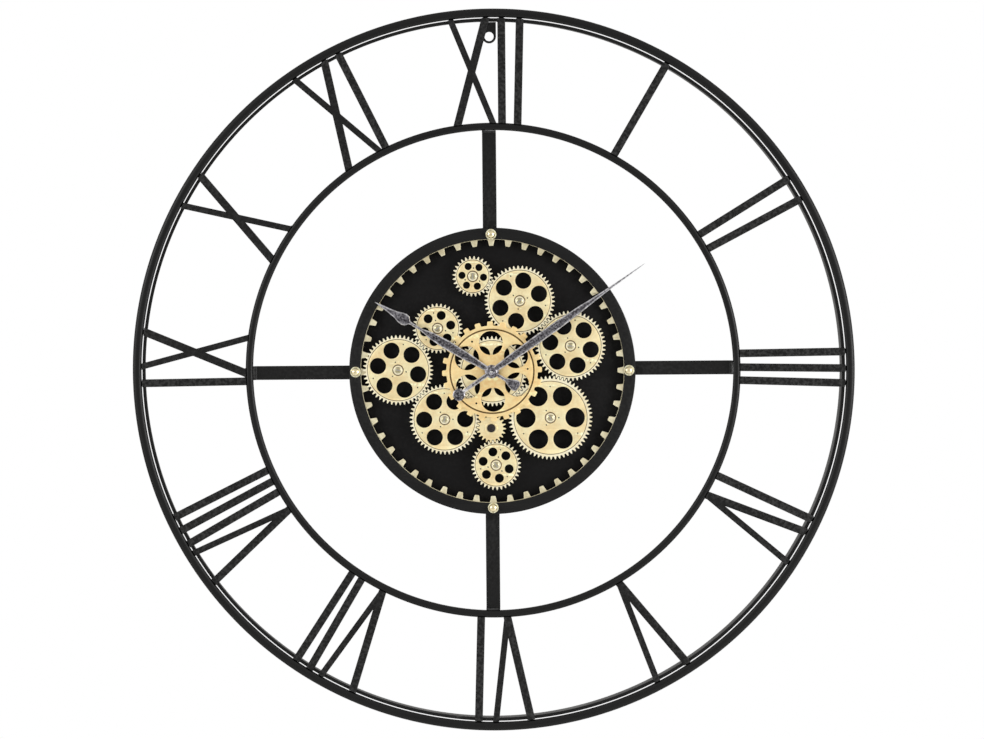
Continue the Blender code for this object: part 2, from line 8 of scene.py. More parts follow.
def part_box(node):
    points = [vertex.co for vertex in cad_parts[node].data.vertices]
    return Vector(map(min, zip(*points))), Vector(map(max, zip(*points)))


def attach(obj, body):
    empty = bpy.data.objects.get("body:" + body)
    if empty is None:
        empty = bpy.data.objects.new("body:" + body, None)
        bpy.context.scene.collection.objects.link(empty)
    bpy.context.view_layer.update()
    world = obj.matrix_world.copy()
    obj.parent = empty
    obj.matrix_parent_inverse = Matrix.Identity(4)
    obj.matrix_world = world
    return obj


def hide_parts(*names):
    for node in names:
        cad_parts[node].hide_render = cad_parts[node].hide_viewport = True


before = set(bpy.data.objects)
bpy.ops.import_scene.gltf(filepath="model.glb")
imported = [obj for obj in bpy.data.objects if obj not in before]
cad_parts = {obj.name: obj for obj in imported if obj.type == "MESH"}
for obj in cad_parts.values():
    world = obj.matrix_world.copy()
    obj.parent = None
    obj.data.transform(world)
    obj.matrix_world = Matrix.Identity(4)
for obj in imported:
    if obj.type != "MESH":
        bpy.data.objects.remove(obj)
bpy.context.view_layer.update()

# Outer rim: flat steel bar rolled on edge to a 600 mm hoop and welded shut, powder coated satin black.
# Its front is domed, the coat adds to each side, and the numeral bars are welded to its inner wall.
MM = 0.001


def polar(radius, bearing):
    """A point on the dial, its bearing clockwise from twelve in degrees."""
    angle = math.radians(90 - bearing)
    return radius * math.cos(angle), radius * math.sin(angle)


def depths(node):
    """How far a node's back and front lie from the wall."""
    low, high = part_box(node)
    return -high[1], -low[1]


def reach(node):
    low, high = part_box(node)
    return (high[0] - low[0]) / 2


def rounded_section(inner, outer, back, front, corner, steps=3, dome=None):
    """A bar's section in (radius, depth) with rounded corners, the front two perhaps domed (wide, deep)."""
    wide, deep = dome or (corner, corner)
    corners = (
        (outer - wide, front - deep, wide, deep, 0),
        (inner + wide, front - deep, wide, deep, 90),
        (inner + corner, back + corner, corner, corner, 180),
        (outer - corner, back + corner, corner, corner, 270),
    )
    points = []
    for radius, depth, across, along, first in corners:
        for step in range(steps + 1):
            angle = math.radians(first + 90 * step / steps)
            points.append((radius + across * math.cos(angle), depth + along * math.sin(angle)))
    return points


def finish_mesh(work, name, sharp=34):
    bmesh.ops.recalc_face_normals(work, faces=work.faces)
    mesh = bpy.data.meshes.new(name)
    work.to_mesh(mesh)
    work.free()
    mesh.shade_smooth()
    mesh.set_sharp_from_angle(angle=math.radians(sharp))
    return mesh


def lathe(name, profile, steps=256, sweep=360.0, first=0.0, sharp=34):
    """Turns a (radius, depth) section about the dial's axis; a part turn gets flat ends."""
    work = bmesh.new()
    turned = Matrix.Rotation(math.radians(first), 3, "Z")
    points = [work.verts.new(turned @ Vector((radius, 0, depth))) for radius, depth in profile]
    closed = profile[0][0] > 1e-9 or profile[-1][0] > 1e-9
    count = len(points)
    links = count if closed else count - 1
    edges = [work.edges.new((points[number], points[(number + 1) % count])) for number in range(links)]
    bmesh.ops.spin(
        work, geom=points + edges, cent=(0, 0, 0), axis=(0, 0, 1), angle=math.radians(sweep), steps=steps
    )
    bmesh.ops.remove_doubles(work, verts=work.verts, dist=1e-7)
    if sweep < 360:
        open_edges = [edge for edge in work.edges if edge.is_boundary]
        bmesh.ops.holes_fill(work, edges=open_edges, sides=0)
    return finish_mesh(work, name, sharp)


def hang(name, mesh, material, body, slot, spot=(0.0, 0.0), bearing=0.0, stands_for=()):
    """Places a mesh drawn in dial space, x right, y up and z towards the reader, and ties it to its body."""
    piece = bpy.data.objects.new(name, mesh)
    turned = Matrix.Rotation(math.radians(90), 4, "X") @ Matrix.Rotation(math.radians(-bearing), 4, "Z")
    piece.matrix_world = Matrix.Translation((spot[0], 0.0, spot[1])) @ turned
    if not mesh.materials:
        mesh.materials.append(material)
    bpy.context.scene.collection.objects.link(piece)
    bpy.context.view_layer.update()
    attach(piece, body)
    if stands_for:
        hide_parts(*stands_for)
    return piece


class Shading:
    """Lays out one node tree: adds nodes, sets their inputs and links them."""

    def __init__(self, tree):
        self.tree = tree

    def node(self, kind, settings=None, **inputs):
        made = self.tree.nodes.new(kind)
        for key, value in (settings or {}).items():
            setattr(made, key, value)
        for key, value in inputs.items():
            self.set(made, key.replace("_", " "), value)
        return made

    def set(self, made, key, value):
        socket = made.inputs[int(key)] if key.isdigit() else made.inputs[key]
        if isinstance(value, bpy.types.NodeSocket):
            self.tree.links.new(value, socket)
        else:
            socket.default_value = value

    def math(self, operation, first, second=0.0, clamp=False):
        made = self.node("ShaderNodeMath", {"operation": operation, "use_clamp": clamp})
        self.set(made, "0", first)
        self.set(made, "1", second)
        return made.outputs[0]

    def mix(self, factor, first, second):
        made = self.node("ShaderNodeMix", {"data_type": "RGBA"})
        for number, value in ((0, factor), (6, first), (7, second)):
            if isinstance(value, bpy.types.NodeSocket):
                self.tree.links.new(value, made.inputs[number])
            else:
                made.inputs[number].default_value = value if number == 0 else (*value, 1.0)
        return made.outputs[2]

    def spread(self, value, low, high):
        """Stretches 0 to 1 over low to high."""
        made = self.node("ShaderNodeMapRange")
        self.set(made, "0", value)
        self.set(made, "3", low)
        self.set(made, "4", high)
        return made.outputs[0]


def new_group(name, inputs, outputs):
    """A shader node group with plain number inputs and outputs."""
    tree = bpy.data.node_groups.new(name, "ShaderNodeTree")
    for socket, value in inputs.items():
        made = tree.interface.new_socket(socket, in_out="INPUT", socket_type="NodeSocketFloat")
        made.default_value = value
    for socket in outputs:
        tree.interface.new_socket(socket, in_out="OUTPUT", socket_type="NodeSocketFloat")
    shading = Shading(tree)
    return shading, shading.node("NodeGroupInput").outputs, shading.node("NodeGroupOutput")


def make_clouding():
    """Soft uneven patches, such as thinner and thicker paint or handled metal: Cloud runs from 0 to 1."""
    shading, given, out = new_group("Clouding", {"Scale": 30.0, "Contrast": 1.0}, ["Cloud"])
    place = shading.node("ShaderNodeTexCoord").outputs["Object"]
    noise = shading.node("ShaderNodeTexNoise", Vector=place, Scale=given["Scale"], Detail=4.0, Roughness=0.6)
    centred = shading.math("SUBTRACT", noise.outputs[0], 0.5)
    raised = shading.math("MULTIPLY", centred, shading.math("MULTIPLY", given["Contrast"], 2.0))
    shading.set(out, "Cloud", shading.math("ADD", raised, 0.5, clamp=True))
    return shading.tree


def make_rubbed_edges():
    """Where corners are handled and rubbed: Wear is 1 on a worn corner, broken up by fine noise."""
    shading, given, out = new_group("Rubbed edges", {"Start": 0.54, "Amount": 1.0}, ["Wear"])
    point = shading.node("ShaderNodeNewGeometry").outputs["Pointiness"]
    past = shading.math("SUBTRACT", point, given["Start"])
    corner = shading.math("MULTIPLY", past, 12.0, clamp=True)
    place = shading.node("ShaderNodeTexCoord").outputs["Object"]
    noise = shading.node("ShaderNodeTexNoise", Vector=place, Scale=420.0, Detail=3.0)
    broken = shading.node("ShaderNodeMapRange", From_Min=0.42, From_Max=0.62)
    shading.set(broken, "0", noise.outputs[0])
    patchy = shading.math("MULTIPLY", corner, broken.outputs[0])
    shading.set(out, "Wear", shading.math("MULTIPLY", patchy, given["Amount"], clamp=True))
    return shading.tree


def make_brushing():
    """Fine lines left by brushing along the piece's own y direction: Line runs from 0 to 1."""
    shading, given, out = new_group("Brushing", {"Across": 2200.0, "Along": 60.0}, ["Line"])
    place = shading.node("ShaderNodeTexCoord").outputs["Object"]
    stretch = shading.node("ShaderNodeCombineXYZ", X=given["Across"], Y=given["Along"], Z=given["Across"])
    scaled = shading.node("ShaderNodeVectorMath", {"operation": "MULTIPLY"})
    shading.set(scaled, "0", place)
    shading.set(scaled, "1", stretch.outputs[0])
    noise = shading.node("ShaderNodeTexNoise", Vector=scaled.outputs[0], Scale=1.0, Detail=3.0)
    shading.set(noise, "Roughness", 0.55)
    shading.set(out, "Line", noise.outputs[0])
    return shading.tree


CLOUDING = make_clouding()
RUBBED_EDGES = make_rubbed_edges()
BRUSHING = make_brushing()


def new_material(name, metallic, **plain):
    """A material with its Principled shader; plain numbers are set on the shader itself."""
    made = bpy.data.materials.new(name)
    made.use_nodes = True
    shading = Shading(made.node_tree)
    shader = made.node_tree.nodes["Principled BSDF"]
    shader.inputs["Metallic"].default_value = metallic
    for key, value in plain.items():
        shader.inputs[key.replace("_", " ")].default_value = value
    return made, shading, shader


def use_group(shading, tree, **inputs):
    return shading.node("ShaderNodeGroup", {"node_tree": tree}, **inputs).outputs[0]


def add_bump(shading, shader, height, strength, distance):
    bump = shading.node("ShaderNodeBump", Strength=strength, Distance=distance, Height=height)
    shading.set(shader, "Normal", bump.outputs[0])


def powder_coat(name, colour, rubbed, gloss, peel, sheen):
    """Satin powder coat on steel: faint orange peel, uneven gloss, and corners rubbed a little lighter."""
    made, shading, shader = new_material(name, 0.0, Specular_IOR_Level=sheen)
    cloud = use_group(shading, CLOUDING, Scale=22.0, Contrast=1.2)
    speck = use_group(shading, CLOUDING, Scale=900.0, Contrast=1.0)
    wear = use_group(shading, RUBBED_EDGES, Start=0.53, Amount=0.8)
    darker = tuple(part * 0.85 for part in colour)
    lighter = tuple(part * 1.12 for part in colour)
    coat = shading.mix(speck, shading.mix(cloud, darker, colour), lighter)
    shading.set(shader, "Base Color", shading.mix(wear, coat, rubbed))
    uneven = shading.math("ADD", cloud, shading.math("MULTIPLY", speck, 0.6))
    shading.set(shader, "Roughness", shading.spread(uneven, gloss - 0.06, gloss + 0.1))
    add_bump(shading, shader, speck, peel, 0.0001)
    return made


FRAME_BLACK = powder_coat(
    "frame_powder_coat", (0.0020, 0.0020, 0.0021), (0.04, 0.04, 0.04), gloss=0.38, peel=0.18, sheen=0.18
)
COAT = 0.2 * MM
CORNER = 0.4 * MM
RIM_WIDTH = 6.8 * MM
RIM_DOME = (3.4 * MM, 2.4 * MM)


def hang_painted(name, mesh, **place):
    """Hangs a piece of the welded and painted frame."""
    return hang(name, mesh, FRAME_BLACK, "clock_frame", "satin_black_paint", **place)


def add_rim():
    back, front = depths("outer_rim")
    outer = reach("outer_rim")
    section = rounded_section(outer - RIM_WIDTH - COAT, outer + COAT, back, front, CORNER, 7, RIM_DOME)
    hang_painted("outer_rim_bar", lathe("outer_rim_bar", section, 288), stands_for=("outer_rim",))


add_rim()

# Numeral band: thin steel strip rolled on edge to a deep hoop that stands the clock off the wall.
# Its two ends meet in a narrow seam at the bottom, and it is rolled a little out of true, to the left.
BAND_SEAM = 1.3 * MM
BAND_LEAN = 1.6 * MM
BAND_SHEET = 2.7 * MM


def add_band():
    back, front = depths("numeral_band")
    outer = reach("numeral_band") - BAND_LEAN / 2
    section = rounded_section(outer - BAND_SHEET, outer, back, front, 0.35 * MM)
    half_seam = math.degrees(BAND_SEAM / 2 / outer)
    mesh = lathe("numeral_band_strip", section, 288, 360 - 2 * half_seam, -90 + half_seam)
    for vertex in mesh.vertices:
        vertex.co.x -= BAND_LEAN * (1 - vertex.co.z / front)
    hang_painted("numeral_band_strip", mesh, stands_for=("numeral_band",))


add_band()

# Inner ring: flat bar rolled to a smaller hoop, level with the numeral bars that it carries.
# Its bar is a little narrower than the rim's, and it is welded shut behind one of the numerals.
RING_WIDTH = 5.8 * MM
RING_DOME = (2.9 * MM, 2.3 * MM)


def add_inner_ring():
    back, front = depths("inner_ring")
    outer = reach("inner_ring")
    section = rounded_section(outer - RING_WIDTH - COAT, outer + COAT, back, front, CORNER, 7, RING_DOME)
    hang_painted("inner_ring_bar", lathe("inner_ring_bar", section, 256), stands_for=("inner_ring",))


add_inner_ring()

# Numeral bars: flat bar cut to length between the inner ring and the rim, one bar for each stroke of an I,
# and two bars welded into one piece for each V and X. Their cut edges are lightly broken.
BROKEN_EDGE = 0.2 * MM
NUMERAL_NODES = sorted(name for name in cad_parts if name.startswith("numeral_") and "_band" not in name)


def soften(piece, width, segments=2, angle=30):
    bevel = piece.modifiers.new("broken edges", "BEVEL")
    bevel.width = width
    bevel.segments = segments
    bevel.limit_method = "ANGLE"
    bevel.angle_limit = math.radians(angle)
    bevel.harden_normals = True


def clean_copy(node, name, coat=0.0):
    """A node's own mesh, its flat faces made whole for broken edges, grown by its coat's thickness."""
    work = bmesh.new()
    work.from_mesh(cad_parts[node].data)
    bmesh.ops.remove_doubles(work, verts=work.verts, dist=1e-6)
    bmesh.ops.dissolve_limit(
        work, angle_limit=math.radians(1), use_dissolve_boundaries=False, verts=work.verts, edges=work.edges
    )
    work.normal_update()
    grown = [(vertex, vertex.normal * coat * vertex.calc_shell_factor()) for vertex in work.verts]
    for vertex, step in grown:
        vertex.co += step
    return finish_mesh(work, name)


def keep_place(name, mesh, material, body, node):
    """Ties a copy of a node's mesh, already in its place, to its body."""
    mesh.materials.clear()
    mesh.materials.append(material)
    piece = bpy.data.objects.new(name, mesh)
    bpy.context.scene.collection.objects.link(piece)
    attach(piece, body)
    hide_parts(node)
    return piece


def add_numerals():
    for node in NUMERAL_NODES:
        mesh = clean_copy(node, node + "_bar_stock", COAT)
        piece = keep_place(node + "_cut", mesh, FRAME_BLACK, "clock_frame", node)
        soften(piece, BROKEN_EDGE)


add_numerals()

# Weld beads: a short bead behind each end of each bar.
# They are left as welded and coated with the frame, so they stay rough and rounded.
END_GAP = 8 * MM
BEAD_SIZE = (2.5 * MM, 0.75 * MM, 1.1 * MM)
RIPPLE_RATE = 5200
RIPPLE_HEIGHT = 0.06 * MM


def bar_ends():
    """The middle of each bar end on the inner ring and on the rim, found from the bars themselves."""
    ring = reach("inner_ring")
    rim = reach("outer_rim") - RIM_WIDTH
    ends = []
    for node in NUMERAL_NODES:
        places = [vertex.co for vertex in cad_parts[node].data.vertices]
        for radius in (ring + 0.3 * MM, rim - 0.5 * MM):
            near = [place for place in places if abs(math.hypot(place.x, place.z) - radius) < 0.6 * MM]
            near.sort(key=lambda place: math.atan2(place.z, place.x))
            group = []
            for place in near:
                apart = place - group[-1] if group else Vector()
                if apart.length > END_GAP and abs(apart.x) + abs(apart.z) > END_GAP:
                    ends.append(sum(group, Vector()) / len(group))
                    group = []
                group.append(place)
            if group:
                ends.append(sum(group, Vector()) / len(group))
    return ends


def add_welds():
    back = depths("numeral_I_bar_1")[0]
    work = bmesh.new()
    for number, end in enumerate(bar_ends()):
        bearing = math.atan2(end.x, end.z)
        placed = (
            Matrix.Translation((end.x, -back + 0.35 * MM, end.z))
            @ Matrix.Rotation(bearing, 4, "Y")
            @ Matrix.Diagonal((*BEAD_SIZE, 1.0))
        )
        bead = bmesh.ops.create_icosphere(work, subdivisions=3, radius=1.0, matrix=placed)
        for vertex in bead["verts"]:
            ripple = math.sin((vertex.co.x + vertex.co.z) * RIPPLE_RATE + number)
            vertex.co.y += RIPPLE_HEIGHT * ripple
    mesh = finish_mesh(work, "numeral_welds", 60)
    mesh.materials.append(FRAME_BLACK)
    piece = bpy.data.objects.new("numeral_welds", mesh)
    bpy.context.scene.collection.objects.link(piece)
    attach(piece, "clock_frame")


add_welds()

# Spokes: four flat strips welded behind the dial plate, each with its outer end bent forwards to a tab
# that is welded to the inner ring's inner wall.
SPOKE_SHEET = 2.0 * MM
SPOKE_BEND = 1.4 * MM


def spoke_side(near, far, back, front):
    """A spoke seen from its side, as (radius, depth), with a round bend at its outer end."""
    outside = [(near, back)]
    outside += [
        (far - SPOKE_SHEET - SPOKE_BEND + (SPOKE_SHEET + SPOKE_BEND) * math.sin(turn),
         back + (SPOKE_SHEET + SPOKE_BEND) * (1 - math.cos(turn)))
        for turn in (math.radians(90 * step / 6) for step in range(7))
    ]
    inside = [(far - SPOKE_SHEET, front)]
    inside += [
        (far - SPOKE_SHEET - SPOKE_BEND + SPOKE_BEND * math.sin(turn),
         back + SPOKE_SHEET + SPOKE_BEND * (1 - math.cos(turn)))
        for turn in (math.radians(90 - 90 * step / 6) for step in range(7))
    ]
    return [*outside, (far, front), *inside, (near, back + SPOKE_SHEET)]


def add_spokes():
    for number, side in enumerate(("top", "right", "bottom", "left")):
        node = "spoke_" + side
        low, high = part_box(node)
        back, front = depths(node)
        far = max(abs(value) for value in (low[0], high[0], low[2], high[2]))
        near = far - max(high[0] - low[0], high[2] - low[2])
        upright = high[2] - low[2] > high[0] - low[0]
        width = (high[0] - low[0] if upright else high[2] - low[2]) + 2 * COAT
        spot = ((low[0] + high[0]) / 2, 0.0) if upright else (0.0, (low[2] + high[2]) / 2)
        work = bmesh.new()
        side_points = spoke_side(near, far, back, front)
        outline = [work.verts.new((-width / 2, radius, depth)) for radius, depth in side_points]
        face = work.faces.new(outline)
        grown = bmesh.ops.extrude_face_region(work, geom=[face])
        moved = [item for item in grown["geom"] if isinstance(item, bmesh.types.BMVert)]
        bmesh.ops.translate(work, vec=(width, 0, 0), verts=moved)
        mesh = finish_mesh(work, node + "_strip")
        piece = hang_painted(node + "_strip", mesh, spot=spot, bearing=90 * number, stands_for=(node,))
        soften(piece, BROKEN_EDGE)


add_spokes()

# Hanging eye: a small steel tab with one round hole, punched from sheet and welded to the inside of the
# band behind the twelve. The clock hangs from the upper edge of the hole.
EYE_HOLE = 3.8 * MM


def circle(radius, sides, centre=(0.0, 0.0)):
    points = [polar(radius, 360 * number / sides) for number in range(sides)]
    return [(x + centre[0], y + centre[1]) for x, y in points]


def blank(name, outlines, back, front, bevel=0.15 * MM, sharp=30):
    """A plate stamped from sheet between two depths: its outside first, then its holes."""
    curve = bpy.data.curves.new(name, "CURVE")
    curve.dimensions = "2D"
    curve.fill_mode = "BOTH"
    curve.extrude = (front - back) / 2 - bevel
    curve.bevel_depth = bevel
    curve.bevel_resolution = 1
    curve.offset = -bevel
    for outline in outlines:
        spline = curve.splines.new("POLY")
        spline.points.add(len(outline) - 1)
        for point, (x, y) in zip(spline.points, outline):
            point.co = (x, y, 0, 1)
        spline.use_cyclic_u = True
    drawn = bpy.data.objects.new(name, curve)
    bpy.context.scene.collection.objects.link(drawn)
    evaluated = drawn.evaluated_get(bpy.context.evaluated_depsgraph_get())
    raw = bpy.data.meshes.new_from_object(evaluated)
    bpy.data.objects.remove(drawn, do_unlink=True)
    work = bmesh.new()
    work.from_mesh(raw)
    bmesh.ops.remove_doubles(work, verts=work.verts, dist=1e-7)
    bmesh.ops.translate(work, vec=(0, 0, (back + front) / 2), verts=work.verts)
    return finish_mesh(work, name, sharp)


def add_hanging_eye():
    low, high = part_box("hanging_eye")
    back, front = depths("hanging_eye")
    radius = (high[0] - low[0]) / 2
    centre = ((high[0] + low[0]) / 2, low[2] + radius)
    top = high[2] - centre[1]
    arc = [polar(radius, 90 + 180 * step / 20) for step in range(21)]
    outline = [(-radius, top), (radius, top), *arc]
    mesh = blank("hanging_eye_tab", [outline, circle(EYE_HOLE, 40)], back, front, 0.3 * MM)
    hang_painted("hanging_eye_tab", mesh, spot=centre, stands_for=("hanging_eye",))


add_hanging_eye()

# Dial plate: a black sheet steel disc that carries everything else. The wheels' pins are riveted through
# it, and four shouldered studs are pressed in near its edge.
PLATE_BLACK = powder_coat(
    "plate_powder_coat", (0.0036, 0.0034, 0.0036), (0.02, 0.02, 0.02), gloss=0.5, peel=0.12, sheen=0.07
)
PLATE_FRONT = 17.3 * MM
PLATE_TO_BEZEL = 7.0 * MM
TRAIN = (
    # name, teeth, wheel it meshes with, bearing from that wheel, bearing of its first hole
    ("centre_wheel_rear", 50, None, 0, 28.1),
    ("wheel_lower_left", 50, "centre_wheel_rear", 225, 29.5),
    ("wheel_lower_right", 60, "centre_wheel_rear", 129, 29.8),
    ("wheel_left", 50, "wheel_lower_left", 317, 42.0),
    ("wheel_upper_left", 35, "wheel_left", 44, 16.0),
    ("motor_pinion", 20, "wheel_lower_left", 101, 0.0),
    ("wheel_bottom", 35, "motor_pinion", 173, 46.5),
    ("wheel_right", 50, "wheel_lower_right", 16, 40.5),
    ("wheel_upper", 50, "wheel_right", 312, 10.5),
    ("wheel_top", 28, "wheel_upper", 298, 35.5),
)
MODULE = 1.125 * MM
WHEELS = [row[0] for row in TRAIN if row[0] not in ("centre_wheel_rear", "motor_pinion")]
BUSH_RADIUS = 4.2 * MM
SHAFT_HOLE = 3.8 * MM
STUD_CIRCLE = 113.5 * MM


def train_places():
    """Each wheel's axis on the dial, its teeth and its first tooth's bearing, worked through the train."""
    places = {}
    for name, teeth, driver, bearing, _hole_bearing in TRAIN:
        if driver is None:
            places[name] = ((0.0, 0.0), teeth, 0.0)
            continue
        driver_spot, driver_teeth, driver_first = places[driver]
        step = polar(MODULE * (driver_teeth + teeth) / 2, bearing)
        spot = (driver_spot[0] + step[0], driver_spot[1] + step[1])
        past_tooth = ((bearing - driver_first) * driver_teeth / 360) % 1.0
        share = (0.5 - past_tooth) % 1.0
        places[name] = (spot, teeth, bearing + 180 - share * 360 / teeth)
    return places


PLACES = train_places()


def add_plate():
    back = depths("bezel_ring")[0] - PLATE_TO_BEZEL
    outlines = [
        circle(reach("bezel_ring"), 256),
        circle(BUSH_RADIUS + 0.3 * MM, 40),
        circle(SHAFT_HOLE, 40, PLACES["motor_pinion"][0]),
    ]
    mesh = blank("dial_plate_disc", outlines, back, PLATE_FRONT, 0.25 * MM)
    hang("dial_plate_disc", mesh, PLATE_BLACK, "clock_frame", "satin_black_paint", stands_for=("dial_plate",))


add_plate()

# Studs and wheel pins: turned steel. The studs have a shoulder that sets the toothed ring off the plate,
# and the pins have a low collar that the wheels run on.
THREAD_IN_NUT = 2.3 * MM


def turned_steel(name, colour, gloss):
    """Machined steel with the faint rings that the tool leaves."""
    made, shading, shader = new_material(name, 1.0)
    line = use_group(shading, BRUSHING, Across=900.0, Along=5200.0)
    cloud = use_group(shading, CLOUDING, Scale=160.0, Contrast=1.0)
    darker = tuple(part * 0.7 for part in colour)
    shading.set(shader, "Base Color", shading.mix(cloud, darker, colour))
    shading.set(shader, "Roughness", shading.spread(line, gloss - 0.08, gloss + 0.12))
    add_bump(shading, shader, line, 0.12, 0.00005)
    return made


def steps_at(depth, *pairs):
    """Part of a turned section: pairs of (radius, height over that depth) in millimetres."""
    return [(radius * MM, depth + height * MM) for radius, height in pairs]


def hang_turned(name, profile, steps, material, body, slot, **place):
    """Turns a section and hangs the piece under the same name."""
    return hang(name, lathe(name, profile, steps), material, body, slot, **place)


STEEL = turned_steel("turned_steel", (0.52, 0.51, 0.50), 0.3)
DARK_STEEL = turned_steel("blackened_steel", (0.05, 0.045, 0.045), 0.42)


def add_studs():
    shoulder_front = depths("toothed_ring")[0]
    thread_front = depths("cap_nut_1")[0] + THREAD_IN_NUT
    profile = [
        *steps_at(thread_front, (0, 0), (1.5, 0), (1.9, -0.4)),
        *steps_at(shoulder_front, (1.9, 0), (3.0, 0), (3.2, -0.2)),
        *steps_at(PLATE_FRONT, (3.2, 0), (0, 0)),
    ]
    for number in range(4):
        spot = polar(STUD_CIRCLE, 90 * number)
        hang_turned(f"plate_stud_{number + 1}", profile, 32, STEEL, "clock_frame", "turned_steel", spot=spot)


def add_pins():
    wheel_back, wheel_front = depths("wheel_top")
    profile = [
        *steps_at(wheel_front, (0, 0.6), (2.2, 0.6), (2.4, 0.4)),
        *steps_at(wheel_back, (2.4, -0.4), (3.6, -0.4), (3.6, -1.2), (2.6, -1.6)),
        *steps_at(PLATE_FRONT, (2.6, 0.5), (3.4, 0), (0, 0)),
    ]
    for name in WHEELS:
        spot = PLACES[name][0]
        hang_turned(name + "_pin", profile, 32, STEEL, "clock_frame", "turned_steel", spot=spot)


add_studs()
add_pins()

# Toothed ring: a brass sheet ring with 48 blunt teeth round its inside, clamped between the studs'
# shoulders and the bezel, so that its teeth stand off the plate.


def stamped_brass(name, pale, deep, gloss):
    """Lacquered brass sheet: warm patches, fine rolling lines, brighter rubbed corners."""
    made, shading, shader = new_material(name, 1.0)
    cloud = use_group(shading, CLOUDING, Scale=46.0, Contrast=1.5)
    grain = use_group(shading, CLOUDING, Scale=1400.0, Contrast=1.1)
    line = use_group(shading, BRUSHING, Across=1500.0, Along=90.0)
    wear = use_group(shading, RUBBED_EDGES, Start=0.52, Amount=1.0)
    body = shading.mix(cloud, deep, pale)
    shade = tuple(part * 0.86 for part in deep)
    body = shading.mix(shading.spread(grain, 0.55, 1.0), shade, body)
    bright = tuple(min(1.0, part * 1.12 + 0.05) for part in pale)
    shading.set(shader, "Base Color", shading.mix(wear, body, bright))
    uneven = shading.math("ADD", shading.math("MULTIPLY", line, 0.6), shading.math("MULTIPLY", grain, 0.4))
    shading.set(shader, "Roughness", shading.spread(uneven, gloss - 0.08, gloss + 0.14))
    add_bump(shading, shader, uneven, 0.10, 0.00008)
    return made


def nut_holes():
    return [circle(NUT_HOLE, 24, polar(STUD_CIRCLE, 90 * number)) for number in range(4)]


FACE_BRASS = stamped_brass("face_brass", (0.93, 0.88, 0.58), (0.84, 0.66, 0.36), 0.34)
# The centre wheel's warm orange patches are partly the brass's own tone and partly a painted reflection.
CENTRE_BRASS_AND_REFLECTION = stamped_brass("centre_brass_and_reflection", (0.96, 0.80, 0.44), (0.90, 0.62, 0.28), 0.34)
TOOTH_BRASS = stamped_brass("tooth_brass", (0.98, 0.94, 0.74), (0.92, 0.82, 0.56), 0.32)
RING_BRASS = stamped_brass("ring_brass", (0.94, 0.88, 0.64), (0.58, 0.50, 0.31), 0.3)
# Painted shade: near-black brass for the groove floors and hub recesses, standing in for the shade that falls
# in them.
PAINTED_SHADE_BRASS = stamped_brass("painted_shade_brass", (0.16, 0.10, 0.04), (0.08, 0.05, 0.02), 0.5)
TOOTHED_TEETH = 48
TOOTHED_TIP = 103.8 * MM
TOOTHED_ROOT = 109.15 * MM
NUT_HOLE = 2.1 * MM


def tooth_outline(teeth, shape, first_bearing=0.0):
    """A toothed outline: shape lists (share of the pitch, radius) from each tooth's middle, clockwise."""
    pitch = 360 / teeth
    points = []
    for number in range(teeth):
        for share, radius in shape:
            points.append(polar(radius, first_bearing + pitch * (number + share)))
    return points


def tooth_side(radius, *pairs):
    """Part of a tooth's side: pairs of (share of the pitch, millimetres beyond that radius)."""
    return [(share, radius + beyond * MM) for share, beyond in pairs]


def mirrored(half):
    """One tooth's shape from its right half, given from its middle outwards."""
    other = half[1:] if half[0][0] == 0 else half
    return [(-share, radius) for share, radius in reversed(other)] + half


def add_toothed_ring():
    back, front = depths("toothed_ring")
    half = [
        *tooth_side(TOOTHED_TIP, (0.075, 0.1), (0.118, 0.2), (0.136, 0.6), (0.172, 3.0)),
        *tooth_side(TOOTHED_ROOT, (0.196, -0.6), (0.215, -0.15), (0.245, 0), (0.47, 0)),
    ]
    teeth = tooth_outline(TOOTHED_TEETH, mirrored(half))
    outlines = [circle(reach("toothed_ring"), 192), teeth, *nut_holes()]
    mesh = blank("toothed_ring_sheet", outlines, back, front, 0.2 * MM)
    hang("toothed_ring_sheet", mesh, RING_BRASS, "clock_frame", "wheel_brass", stands_for=("toothed_ring",))


add_toothed_ring()

# Bezel: a flat black ring as wide as the plate, which hides the root of the toothed ring and takes the
# nuts. It is cut from sheet steel and coated with the frame.
BEZEL_INSIDE = 109.4 * MM


def add_bezel():
    back, front = depths("bezel_ring")
    outlines = [circle(reach("bezel_ring"), 256), circle(BEZEL_INSIDE, 256), *nut_holes()]
    mesh = blank("bezel_sheet", outlines, back, front, 0.35 * MM)
    hang_painted("bezel_sheet", mesh, stands_for=("bezel_ring",))


add_bezel()

# Domed nuts: four small brass acorn nuts on the studs, each a chamfered hexagon with a round crown,
# over a thin washer. Each one stands turned as it was tightened.
HEXAGON_HEIGHT = 2.3 * MM
HALF_FLATS = 3.46 * MM


def hang_nut_part(name, profile, spot):
    hang_turned(name, profile, 40, RING_BRASS, "clock_frame", "wheel_brass", spot=spot)


def add_domed_nuts():
    back, front = depths("cap_nut_1")
    washer = steps_at(back, (4.4, -0.05), (4.4, -0.3), (2.0, -0.3), (2.0, -0.05))
    shoulder = back + HEXAGON_HEIGHT
    rise = front - back - HEXAGON_HEIGHT
    corners = [polar(HALF_FLATS / math.cos(math.radians(30)), 60 * side) for side in range(6)]
    crown = []
    for step in range(10):
        angle = math.radians(9 * step)
        crown.append((HALF_FLATS * 0.97 * math.cos(angle), shoulder + rise * math.sin(angle)))
    dome = [(0.0, front), *reversed(crown), (0.0, shoulder)]
    for number in range(4):
        spot = polar(STUD_CIRCLE, 90 * number)
        name = f"domed_nut_{number + 1}"
        mesh = blank(name + "_hexagon", [corners, circle(2.2 * MM, 24)], back, shoulder, 0.3 * MM)
        hang(
            name + "_hexagon", mesh, RING_BRASS, "clock_frame", "wheel_brass", spot,
            bearing=12.0 + 37.0 * number, stands_for=(f"cap_nut_{number + 1}",)
        )
        hang_nut_part(name + "_crown", dome, spot)
        hang_nut_part(name + "_washer", washer, spot)


add_domed_nuts()

